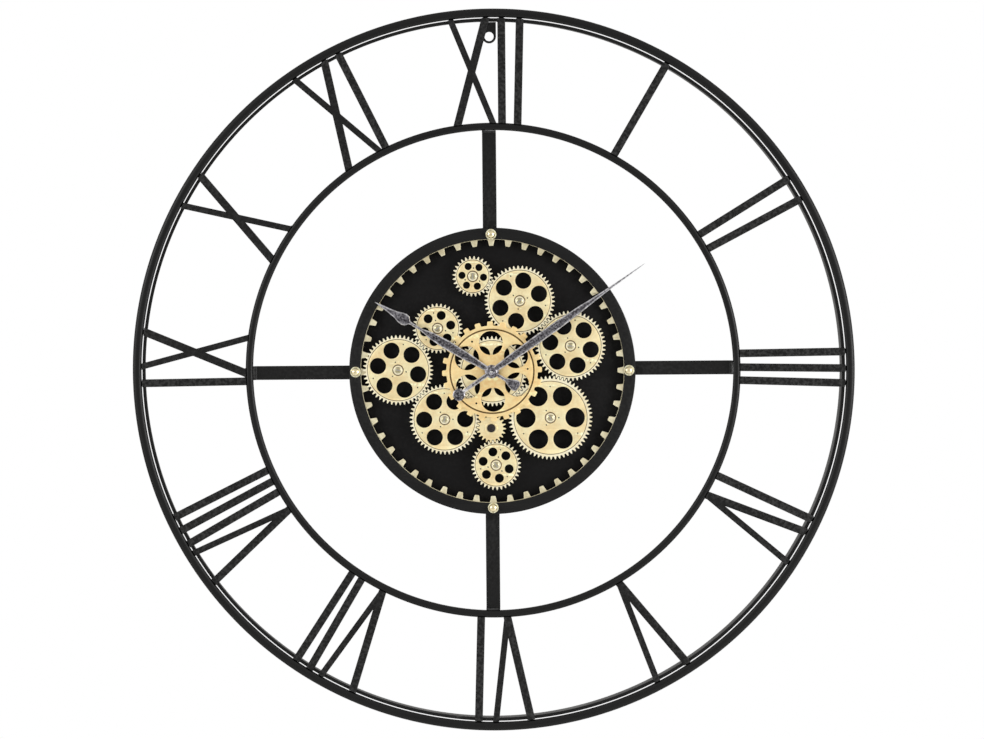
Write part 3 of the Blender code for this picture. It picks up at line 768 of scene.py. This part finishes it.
# Wheels: brass blanks with cut teeth and six round holes, a fine groove turned just inside the teeth and
# small holes that located the blanks. Each has a pressed hub and is kept on its pin by a slotted screw.
GROOVE_DEPTH = 0.6 * MM
GROOVE_WIDTH = 0.5 * MM
RIM_WALL = 0.5 * MM
HUB_HOLE = 4.75 * MM
LOCATING_HOLE = 0.6 * MM
SLOT_CUT = (8 * MM, 0.8 * MM, 1.0 * MM)
ADDENDUM = 0.92
DEDENDUM = 1.3


def wheel_teeth(teeth, first_bearing):
    pitch_radius = MODULE * teeth / 2
    tip = pitch_radius + ADDENDUM * MODULE
    root = pitch_radius - DEDENDUM * MODULE
    half = [
        *tooth_side(tip, (0.0, 0.04), (0.07, -0.05), (0.105, -0.30)),
        *tooth_side(pitch_radius, (0.200, -0.1)),
        *tooth_side(root, (0.265, 0.40), (0.32, 0.10), (0.40, 0)),
    ]
    return tooth_outline(teeth, mirrored(half), first_bearing)


def wheel_holes(name, teeth, first_bearing):
    pitch_radius = MODULE * teeth / 2
    large = teeth > 40
    radius = pitch_radius * (0.24 if large else 0.19)
    hole_circle = pitch_radius * (0.605 if large else 0.57)
    if name == "centre_wheel_rear":
        radius = 7.0 * MM
        hole_circle = 16.2 * MM
    return [circle(radius, 48, polar(hole_circle, first_bearing + 60 * number)) for number in range(6)]


def locating_holes(teeth, first_bearing):
    """Three small holes by the hub and three farther out, a third of a turn apart."""
    tip = MODULE * teeth / 2 + ADDENDUM * MODULE
    small = teeth < 40
    places = [(6.9 * MM, first_bearing + (-30 if small else 60))]
    if teeth >= 30:
        places.append((tip * (0.64 if small else 0.745), first_bearing - 30))
    return [
        circle(LOCATING_HOLE, 12, polar(radius, bearing + 120 * number))
        for radius, bearing in places
        for number in range(3)
    ]


def add_wheel_plates(name, body, spot, outlines, groove, bore, brasses):
    """A wheel in three layers: the toothed rim, the web whose floor in the groove is painted dark as shade,
    and the face.
    """
    back, front = depths(name)
    floor = front - GROOVE_DEPTH
    toothed, *holes = outlines
    inside, outside = groove
    rim_brass, face_brass = brasses
    rim = [toothed, circle(outside, 128)]
    web = [circle(outside + 0.1 * MM, 128), circle(bore, 48), *holes]
    face = [circle(inside, 128), circle(bore, 48), *holes]
    mesh = blank(name + "_rim", rim, back, front, 0.12 * MM)
    hang(name + "_rim", mesh, rim_brass, body, "wheel_brass", spot, stands_for=(name,))
    # The web shows only as the groove's floor, painted dark as shade.
    mesh = blank(name + "_web", web, back + 0.05 * MM, floor, 0.05 * MM)
    hang(name + "_web", mesh, PAINTED_SHADE_BRASS, body, "wheel_brass", spot)
    mesh = blank(name + "_face", face, floor, front, 0.12 * MM)
    hang(name + "_face", mesh, face_brass, body, "wheel_brass", spot)


def fine_groove(teeth):
    """The inside and outside of the groove turned just inside a wheel's teeth, clear of their roots."""
    tip = MODULE * teeth / 2 + ADDENDUM * MODULE
    root = MODULE * teeth / 2 - DEDENDUM * MODULE
    outside = min(tip * 0.865 + GROOVE_WIDTH, root - RIM_WALL)
    return outside - GROOVE_WIDTH, outside


def add_wheel(name, teeth, first, hole_bearing):
    holes = wheel_holes(name, teeth, hole_bearing) + locating_holes(teeth, hole_bearing)
    outlines = [wheel_teeth(teeth, first), *holes]
    spot = PLACES[name][0]
    add_wheel_plates(name, name, spot, outlines, fine_groove(teeth), HUB_HOLE, (TOOTH_BRASS, FACE_BRASS))


def add_hub_screw(name, turn):
    """The wheel's pressed hub, standing in a recess whose floor is painted dark as shade, and the slotted
    screw in the pin.
    """
    back, front = depths(name)
    spot = PLACES[name][0]
    outside = HUB_HOLE + 0.1 * MM
    low = back + 0.1 * MM
    high = front - 1.0 * MM
    floor = [(outside, high), (outside, low), (2.6 * MM, low), (2.6 * MM, high)]
    # The recess floor is painted dark as shade.
    hang_turned(name + "_recess", floor, 48, PAINTED_SHADE_BRASS, name, "wheel_brass", spot=spot)
    collar = rounded_section(2.65 * MM, 3.85 * MM, high, front + 0.35 * MM, 0.2 * MM, 2)
    hang_turned(name + "_hub", collar, 56, TOOTH_BRASS, name, "wheel_brass", spot=spot)
    top = front + 0.95 * MM
    head = [
        *steps_at(top, (0, 0), (1.2, -0.05), (2.0, -0.22), (2.5, -0.5)),
        *steps_at(front, (2.5, 0.1), (0, 0.1)),
    ]
    piece = hang_turned(name + "_screw", head, 48, SCREW_BRASS, "clock_frame", "wheel_brass", spot=spot)
    cutter_mesh = bpy.data.meshes.new("slot")
    work = bmesh.new()
    bmesh.ops.create_cube(work, size=1.0)
    bmesh.ops.scale(work, vec=SLOT_CUT, verts=work.verts)
    bmesh.ops.rotate(work, verts=work.verts, matrix=Matrix.Rotation(math.radians(turn), 3, "Z"))
    bmesh.ops.translate(work, vec=(0, 0, top), verts=work.verts)
    work.to_mesh(cutter_mesh)
    work.free()
    cut_slot(piece, cutter_mesh)


def cut_slot(piece, cutter_mesh, sharp=34):
    """Cuts a drawn shape, in the piece's own space, out of the piece for good."""
    cutter = bpy.data.objects.new("slot_cutter", cutter_mesh)
    bpy.context.scene.collection.objects.link(cutter)
    cutter.matrix_world = piece.matrix_world
    bpy.context.view_layer.update()
    modifier = piece.modifiers.new("slot", "BOOLEAN")
    modifier.operation = "DIFFERENCE"
    modifier.object = cutter
    evaluated = piece.evaluated_get(bpy.context.evaluated_depsgraph_get())
    mesh = bpy.data.meshes.new_from_object(evaluated)
    piece.modifiers.clear()
    piece.data = mesh
    mesh.set_sharp_from_angle(angle=math.radians(sharp))
    bpy.data.objects.remove(cutter, do_unlink=True)


SCREW_BRASS = stamped_brass("screw_brass", (0.50, 0.46, 0.30), (0.30, 0.26, 0.15), 0.3)


def add_wheels():
    for number, (name, teeth, _driver, _bearing, hole_bearing) in enumerate(TRAIN):
        if name in WHEELS:
            add_wheel(name, teeth, PLACES[name][2], hole_bearing)
            add_hub_screw(name, 25.0 + 47.0 * number)


add_wheels()

# Motor pinion: a thick 20-tooth brass wheel pressed on the gear motor's dark steel shaft, whose end is
# left bare in the middle of a plain raised boss.
SHAFT_BACK = 11.0 * MM


def add_motor_pinion():
    name = "motor_pinion"
    spot, teeth, first = PLACES[name]
    _back, shaft_front = depths(name)
    back, front = depths("wheel_top")
    mesh = blank(name + "_wheel", [wheel_teeth(teeth, first), circle(3.35 * MM, 40)], back, front, 0.15 * MM)
    hang(name + "_wheel", mesh, FACE_BRASS, name, "wheel_brass", spot, stands_for=(name,))
    boss = rounded_section(3.4 * MM, 5.0 * MM, front, front + 0.8 * MM, 0.2 * MM, 2)
    hang_turned(name + "_boss", boss, 56, FACE_BRASS, name, "wheel_brass", spot=spot)
    shaft = [
        *steps_at(shaft_front, (0, -0.9), (1.0, -0.7), (1.3, 0), (3.0, 0), (3.3, -0.3)),
        *steps_at(SHAFT_BACK, (3.3, 0.3), (3.0, 0), (0, 0)),
    ]
    hang_turned(name + "_shaft", shaft, 48, DARK_STEEL, name, "turned_steel", spot=spot)


add_motor_pinion()

# Centre wheel: a fine-toothed brass wheel in the train's plane, and riveted in front of it a larger plate
# with 24 square teeth, six large holes and a wide turned groove. Both turn on the movement's bush.
CENTRE_TURN = -1.9
CENTRE_TEETH = 24
CENTRE_TIP = 41.4 * MM
CENTRE_ROOT = 37.9 * MM
CENTRE_GROOVE = 35.4 * MM
CENTRE_GROOVE_WIDTH = 1.3 * MM


def add_centre_wheel():
    body = "centre_wheel"
    bore = BUSH_RADIUS + 0.25 * MM
    rear = "centre_wheel_rear"
    teeth = PLACES[rear][1]
    outlines = [wheel_teeth(teeth, 0.0), *wheel_holes(rear, teeth, TRAIN[0][4])]
    add_wheel_plates(rear, body, (0.0, 0.0), outlines, fine_groove(teeth), bore, (TOOTH_BRASS, FACE_BRASS))
    half = [
        *tooth_side(CENTRE_TIP, (0.0, 0), (0.13, 0), (0.185, -0.15), (0.215, -0.7)),
        *tooth_side(CENTRE_ROOT, (0.23, 0.6), (0.27, 0.1), (0.34, 0), (0.46, 0)),
    ]
    holes = [circle(10.0 * MM, 64, polar(23.5 * MM, CENTRE_TURN + 60 * number)) for number in range(6)]
    rivets = [circle(0.85 * MM, 16, polar(29.6 * MM, -33.5 + 120 * number)) for number in range(3)]
    outlines = [tooth_outline(CENTRE_TEETH, mirrored(half), CENTRE_TURN), *holes, *rivets]
    groove = (CENTRE_GROOVE - CENTRE_GROOVE_WIDTH, CENTRE_GROOVE)
    brasses = (CENTRE_BRASS_AND_REFLECTION, CENTRE_BRASS_AND_REFLECTION)
    add_wheel_plates("centre_wheel_front", body, (0.0, 0.0), outlines, groove, bore, brasses)


add_centre_wheel()

# Cases: a standard 56 mm quartz movement, held to the plate by its bush, and a gear motor below it, both
# in black moulded plastic. The back of each has an open bay for one AA cell.


def moulded_plastic(name, colour, gloss):
    """Spark-finished moulded plastic, slightly duller in soft random patches."""
    made, shading, shader = new_material(name, 0.0, IOR=1.48)
    grain = use_group(shading, CLOUDING, Scale=1600.0, Contrast=1.6)
    cloud = use_group(shading, CLOUDING, Scale=60.0, Contrast=1.0)
    wear = use_group(shading, RUBBED_EDGES, Start=0.55, Amount=0.5)
    darker = tuple(part * 0.8 for part in colour)
    worn = tuple(part * 2.2 + 0.02 for part in colour)
    shading.set(shader, "Base Color", shading.mix(wear, shading.mix(cloud, darker, colour), worn))
    shading.set(shader, "Roughness", shading.spread(cloud, gloss - 0.05, gloss + 0.1))
    add_bump(shading, shader, grain, 0.25, 0.0001)
    return made


CASE_PLASTIC = moulded_plastic("case_plastic", (0.022, 0.022, 0.024), 0.45)
KNOB_PLASTIC = moulded_plastic("knob_plastic", (0.55, 0.55, 0.53), 0.4)


def add_cases():
    for node in ("movement_case", "motor_case"):
        mesh = clean_copy(node, node + "_moulding")
        piece = keep_place(node + "_moulding", mesh, CASE_PLASTIC, "clock_frame", node)
        soften(piece, 0.5 * MM, 3)


add_cases()

# Setting knob: a moulded disc with a grip of small ribs, on a short shaft that goes into the movement.
# It is turned from behind and moves the minute hand's arbor.
GRIP_HEIGHT = 3.4 * MM


def add_setting_knob():
    low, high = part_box("setting_knob")
    back, front = depths("setting_knob")
    spot = ((low[0] + high[0]) / 2, (low[2] + high[2]) / 2)
    radius = reach("setting_knob")
    grip_front = back + GRIP_HEIGHT
    ribs = tooth_outline(24, mirrored(tooth_side(radius, (0.1, 0), (0.2, -0.45))))
    mesh = blank("setting_knob_grip", [ribs], back, grip_front, 0.2 * MM)
    knob = (KNOB_PLASTIC, "setting_knob", "movement_plastic")
    hang("setting_knob_grip", mesh, *knob, spot, stands_for=("setting_knob",))
    profile = steps_at(front, (0, 0), (1.3, 0), (1.6, -0.3)) + steps_at(grip_front, (1.6, 0), (0, 0))
    hang_turned("setting_knob_shaft", profile, 32, *knob, spot=spot)


add_setting_knob()

# Cells: two plain AA cells, one in the movement and one in the gear motor, each a steel can in a printed
# sleeve with a bare end and a raised contact.


def cell_sleeve():
    """A two-tone sleeve with a glossy coat, bare of print."""
    made, shading, shader = new_material("cell_sleeve", 0.0, Coat_Weight=0.4)
    height = shading.node("ShaderNodeSeparateXYZ")
    shading.set(height, "0", shading.node("ShaderNodeTexCoord").outputs["Object"])
    band = shading.math("GREATER_THAN", height.outputs[2], 9 * MM)
    cloud = use_group(shading, CLOUDING, Scale=120.0, Contrast=1.0)
    dark = shading.mix(cloud, (0.02, 0.022, 0.03), (0.035, 0.038, 0.05))
    shading.set(shader, "Base Color", shading.mix(band, dark, (0.62, 0.42, 0.16)))
    shading.set(shader, "Roughness", shading.spread(cloud, 0.22, 0.34))
    add_bump(shading, shader, cloud, 0.05, 0.0001)
    return made


CELL_SLEEVE = cell_sleeve()
CELL_RADIUS = 7.1 * MM


def add_cell(name, spot, depth, length, stands_for=()):
    """A cell lying from left to right, its contact to the right."""
    half = length / 2
    nub = 1.4 * MM
    can = [
        *steps_at(half, (0, 0), (2.3, 0), (2.6, -0.3)),
        *steps_at(half - nub, (2.7, 0), (5.6, 0), (5.9, -0.3)),
        *steps_at(-half, (5.9, 0.3), (5.4, 0), (0, 0)),
    ]
    lying = Matrix.Rotation(math.radians(90), 4, "Y")
    sleeve = rounded_section(5.7 * MM, CELL_RADIUS, -half + 0.3 * MM, half - nub, 0.45 * MM, 3)
    for part, profile, material in (("can", can, STEEL), ("sleeve", sleeve, CELL_SLEEVE)):
        mesh = lathe(f"{name}_{part}", profile, 64)
        mesh.materials.append(material)
        piece = bpy.data.objects.new(f"{name}_{part}", mesh)
        piece.matrix_world = Matrix.Translation((spot[0], -depth, spot[1])) @ lying
        bpy.context.scene.collection.objects.link(piece)
        bpy.context.view_layer.update()
        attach(piece, "clock_frame")
        if stands_for and part == "sleeve":
            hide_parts(*stands_for)


def add_cells():
    low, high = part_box("clock_cell")
    height = (low[2] + high[2]) / 2
    depth = -(low[1] + high[1]) / 2
    length = high[0] - low[0]
    add_cell("clock_cell", (0.0, height), depth, length, ("clock_cell",))
    motor_low, _motor_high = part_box("motor_case")
    add_cell("motor_cell", (0.0, motor_low[2] + 2 * MM + CELL_RADIUS + MM), depth, length)


add_cells()

# Hour hand: gunmetal-plated steel, a blade with edges painted light as a highlight, a thin neck and a
# drop-shaped point, a fan-shaped weight behind the hub, and a pipe that turns inside the bush with the arbor
# through its bore.
PIPE_BORE = 1.9 * MM
PIPE_BACK = 16.2 * MM


def gunmetal(name, dark, pale):
    """Dark plated steel with streaks along the hand and pale, rubbed edges."""
    made, shading, shader = new_material(name, 0.85)
    line = use_group(shading, BRUSHING, Across=950.0, Along=110.0)
    cloud = use_group(shading, CLOUDING, Scale=600.0, Contrast=2.2)
    wear = use_group(shading, RUBBED_EDGES, Start=0.51, Amount=1.0)
    mid = tuple((low + high) / 2 for low, high in zip(dark, pale))
    streak = shading.math("MULTIPLY", line, cloud)
    body = shading.mix(shading.spread(streak, -0.25, 1.7), dark, mid)
    shading.set(shader, "Base Color", shading.mix(wear, body, pale))
    shading.set(shader, "Roughness", shading.spread(line, 0.26, 0.46))
    add_bump(shading, shader, line, 0.2, 0.0001)
    return made


# Painted highlight: the hands' blades are a pale copy of the gunmetal, so that their edges show light where
# the bevels catch the light.
HAND_EDGE_HIGHLIGHT = gunmetal("hand_edge_painted_highlight", (0.26, 0.255, 0.27), (0.80, 0.80, 0.84))
HAND_METAL = gunmetal("hand_gunmetal", (0.022, 0.020, 0.025), (0.46, 0.45, 0.49))


def hand_mesh(name, stations, back, front, ridge=0.0):
    """A hand from its half widths along it, with sloping outer edges and perhaps a raised middle."""
    work = bmesh.new()
    rows = []
    for along, half in stations:
        top = half - min(half * 0.4, 0.35 * MM)
        shoulder = back + (front - back) * 0.5
        rows.append([
            work.verts.new(place)
            for place in (
                (-half, along, back),
                (-half, along, shoulder),
                (-top, along, front),
                (0.0, along, front + ridge * min(1.0, half / (2 * MM))),
                (top, along, front),
                (half, along, shoulder),
                (half, along, back),
            )
        ])
    for first, second in zip(rows, rows[1:]):
        for number in range(7):
            following = (number + 1) % 7
            work.faces.new((first[number], first[following], second[following], second[number]))
    work.faces.new(rows[0])
    work.faces.new(rows[-1])
    return finish_mesh(work, name, 12)


def add_blade(name, knots, back, front, body, bearing):
    """The blade, its edges painted light as a highlight, and the dark plated middle between its edges."""
    place = {"bearing": bearing}
    stations = smooth_stations(knots, 5)
    blade = hand_mesh(name + "_blade", stations, back, front - 0.1 * MM)
    edges = hang(name + "_blade", blade, HAND_EDGE_HIGHLIGHT, body, "hand_gunmetal", stands_for=(name,), **place)
    plated = [(along, max(half - 0.75 * MM, half * 0.3)) for along, half in stations[2:-2]]
    middle = hand_mesh(name + "_middle", plated, front - 0.3 * MM, front - 0.04 * MM, 0.12 * MM)
    plating = hang(name + "_middle", middle, HAND_METAL, body, "hand_gunmetal", **place)
    return edges, plating


def smooth_stations(knots, count):
    """Half widths along a hand, eased between the given knots so that its edges run in clean curves."""
    stations = []
    for (start, start_half), (stop, stop_half) in zip(knots, knots[1:]):
        for step in range(count):
            share = step / count
            eased = share * share * (3 - 2 * share)
            blend = 0.5 * (share + eased)
            half = start_half + (stop_half - start_half) * blend
            stations.append((start + (stop - start) * share, half))
    stations.append(knots[-1])
    return stations


def bearing_of(node):
    """The bearing that a hand points to, and its reach: its farthest corner from the dial's centre."""
    corners = [vertex.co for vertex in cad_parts[node].data.vertices]
    tip = max(corners, key=lambda corner: math.hypot(corner.x, corner.z))
    return math.degrees(math.atan2(tip.x, tip.z)), math.hypot(tip.x, tip.z)


def widths_at(start, *pairs):
    """Half widths along a hand: pairs of (distance from that start, half width) in millimetres."""
    return [(start + along * MM, half * MM) for along, half in pairs]


def add_hour_hand():
    bearing, length = bearing_of("hour_hand")
    _pipe_back, front = depths("hour_hand")
    back = front - 1.2 * MM
    front = front - 0.2 * MM
    knots = [
        *widths_at(length, (0, 0.28), (-12.5, 1.7), (-20, 2.9), (-25, 4.5), (-28, 5.0), (-31, 4.3)),
        *widths_at(length, (-33.2, 1.7), (-35, 1.15)),
        *widths_at(0.0, (68, 1.1), (65, 1.6), (58, 3.0), (44, 3.85), (26, 3.5), (6, 2.2), (0, 1.9)),
        *widths_at(0.0, (-6, 1.4), (-13.5, 1.35), (-15.5, 2.4), (-18.5, 3.7), (-22, 4.8), (-24.2, 4.7)),
        *widths_at(0.0, (-25.3, 3.2), (-25.7, 1.0)),
    ]
    bored = add_blade("hour_hand", knots, back, front, "hour_hand", bearing)
    bore = [(0.0, back - MM), (PIPE_BORE, back - MM), (PIPE_BORE, front + MM), (0.0, front + MM)]
    for piece in bored:
        cut_slot(piece, lathe("hand_bore", bore, 40), 12)
    pipe = [
        (PIPE_BORE, front + 0.2 * MM),
        *steps_at(front, (5.0, 0.2), (5.6, -0.2)),
        *steps_at(back, (5.6, -1.0), (5.2, -1.3), (2.9, -1.3)),
        (2.9 * MM, PIPE_BACK),
        (PIPE_BORE, PIPE_BACK),
    ]
    hang_turned("hour_hand_pipe", pipe, 56, HAND_METAL, "hour_hand", "hand_gunmetal")


add_hour_hand()

# Minute hand: a long lance in the same plated steel with a round weight on a thin stem behind the hub,
# pressed on the steel arbor and held by a small turned nut.
WEIGHT_REACH = 33.2 * MM


def add_minute_hand():
    bearing, length = bearing_of("minute_hand")
    back, front = depths("minute_hand")
    back += MM
    front -= 0.2 * MM
    knots = [
        (length, 0.25 * MM),
        *widths_at(0.0, (140, 0.65), (118, 1.0), (104, 1.7), (88, 2.7), (66, 3.5), (44, 3.6), (24, 3.2)),
        *widths_at(0.0, (6, 2.5), (0, 2.2), (-6, 1.7), (-28.8, 1.5)),
    ]
    add_blade("minute_hand", knots, back, front, "minute_hand", bearing)
    plated = (HAND_METAL, "minute_hand", "hand_gunmetal")
    weight = [*steps_at(front, (0, 0), (3.4, -0.05), (4.5, -0.2), (5.0, -0.5)), (5.0 * MM, back), (0.0, back)]
    hang_turned("minute_hand_weight", weight, 56, *plated, spot=polar(-WEIGHT_REACH, bearing))
    hub = steps_at(front, (1.7, 0.2), (3.9, 0.2), (4.4, -0.2)) + steps_at(back, (4.4, -1), (1.7, -1))
    hang_turned("minute_hand_hub", hub, 56, *plated)
    low, high = depths("minute_arbor")
    arbor = steps_at(high, (0, 0), (1.3, 0), (1.6, -0.3)) + steps_at(low, (1.6, 0), (0, 0))
    hang_turned(
        "minute_arbor_turned", arbor, 40, STEEL, "minute_hand", "turned_steel", stands_for=("minute_arbor",)
    )


def add_hand_nut():
    back, front = depths("hand_nut")
    grip = tooth_outline(28, [(-0.25, 3.4 * MM), (-0.08, 3.4 * MM), (0.08, 3.15 * MM), (0.25, 3.15 * MM)])
    mesh = blank("hand_nut_grip", [grip, circle(1.8 * MM, 32)], back, front - 0.7 * MM, 0.12 * MM)
    hang("hand_nut_grip", mesh, HAND_METAL, "minute_hand", "turned_steel", stands_for=("hand_nut",))
    cap = steps_at(front, (1.0, -0.3), (1.2, -0.1), (1.8, -0.1), (2.4, -0.4), (2.5, -0.7), (1.0, -0.7))
    hang_turned("hand_nut_cap", cap, 48, HAND_METAL, "minute_hand", "turned_steel")
    end = steps_at(front, (0, 0), (0.6, -0.06), (0.9, -0.25), (0.9, -0.9), (0, -0.9))
    hang_turned("arbor_end", end, 32, STEEL, "minute_hand", "turned_steel")


add_minute_hand()
add_hand_nut()

# Studio: a small pale floor below the clock, a white surround that is brighter above, and a soft light on
# each side.
FLOOR_HALF = 1.4
FLOOR_HEIGHT = -0.62


def add_floor():
    work = bmesh.new()
    bmesh.ops.create_grid(work, x_segments=1, y_segments=1, size=FLOOR_HALF)
    floor = bpy.data.objects.new("floor", finish_mesh(work, "floor"))
    made, shading, shader = new_material("pale_floor", 0.0)
    cloud = use_group(shading, CLOUDING, Scale=3.0, Contrast=0.6)
    shading.set(shader, "Base Color", shading.mix(cloud, (0.80, 0.80, 0.79), (0.84, 0.84, 0.83)))
    shading.set(shader, "Roughness", shading.spread(cloud, 0.6, 0.75))
    floor.data.materials.append(made)
    floor.location = (0, 0, FLOOR_HEIGHT)
    bpy.context.scene.collection.objects.link(floor)


def add_surround():
    world = bpy.data.worlds.new("surround")
    world.use_nodes = True
    shading = Shading(world.node_tree)
    lit = world.node_tree.nodes["Background"]
    lit.inputs["Color"].default_value = (1.0, 0.985, 0.96, 1.0)
    place = shading.node("ShaderNodeTexCoord").outputs["Generated"]
    height = shading.node("ShaderNodeSeparateXYZ")
    shading.set(height, "0", place)
    brightness = shading.node("ShaderNodeMapRange", From_Min=-0.7, From_Max=0.7, To_Min=0.42)
    shading.set(brightness, "To Max", 1.12)
    shading.set(brightness, "0", height.outputs[2])
    shading.set(lit, "Strength", brightness.outputs[0])
    seen = shading.node("ShaderNodeBackground", Color=(1.0, 1.0, 1.0, 1.0), Strength=1.0)
    path = shading.node("ShaderNodeLightPath")
    both = shading.node("ShaderNodeMixShader")
    shading.set(both, "0", path.outputs["Is Camera Ray"])
    shading.set(both, "1", lit.outputs[0])
    shading.set(both, "2", seen.outputs[0])
    shading.set(world.node_tree.nodes["World Output"], "Surface", both.outputs[0])
    bpy.context.scene.world = world


def add_light(name, spot, size, power):
    lamp = bpy.data.lights.new(name, "AREA")
    lamp.shape = "RECTANGLE"
    lamp.size, lamp.size_y = size
    lamp.energy = power
    holder = bpy.data.objects.new(name, lamp)
    holder.location = spot
    holder.rotation_euler = (-Vector(spot)).to_track_quat("-Z", "Y").to_euler()
    bpy.context.scene.collection.objects.link(holder)


add_floor()
add_surround()
add_light("side_left", (-1.8, -1.2, 0.5), (0.8, 1.0), 24.0)
add_light("side_right", (1.8, -1.1, 0.2), (0.8, 1.2), 44.0)
bpy.context.scene.view_settings.view_transform = "Standard"

# Camera: a long lens nearly square to the dial, a touch from the right and from above.
CAMERA_DISTANCE = 4.0
CAMERA_RIGHT = 2.6
CAMERA_ABOVE = 2.6
CAMERA_ROLL = 0.5
VIEW_WIDTH = 0.8169
SENSOR_WIDTH = 36.0
AIM = Vector((-0.00035, -0.0188, 0.00115))


def add_camera():
    lens = bpy.data.cameras.new("camera")
    lens.sensor_width = SENSOR_WIDTH
    lens.lens = SENSOR_WIDTH * CAMERA_DISTANCE / VIEW_WIDTH
    lens.clip_end = 50.0
    holder = bpy.data.objects.new("camera", lens)
    right = math.radians(CAMERA_RIGHT)
    above = math.radians(CAMERA_ABOVE)
    spot = Vector((math.sin(right) * math.cos(above), -math.cos(right) * math.cos(above), math.sin(above)))
    facing = (-spot).to_track_quat("-Z", "Y").to_matrix().to_4x4()
    roll = Matrix.Rotation(math.radians(-CAMERA_ROLL), 4, "Z")
    holder.matrix_world = Matrix.Translation(AIM + spot * CAMERA_DISTANCE) @ facing @ roll
    bpy.context.scene.collection.objects.link(holder)
    bpy.context.scene.camera = holder


add_camera()
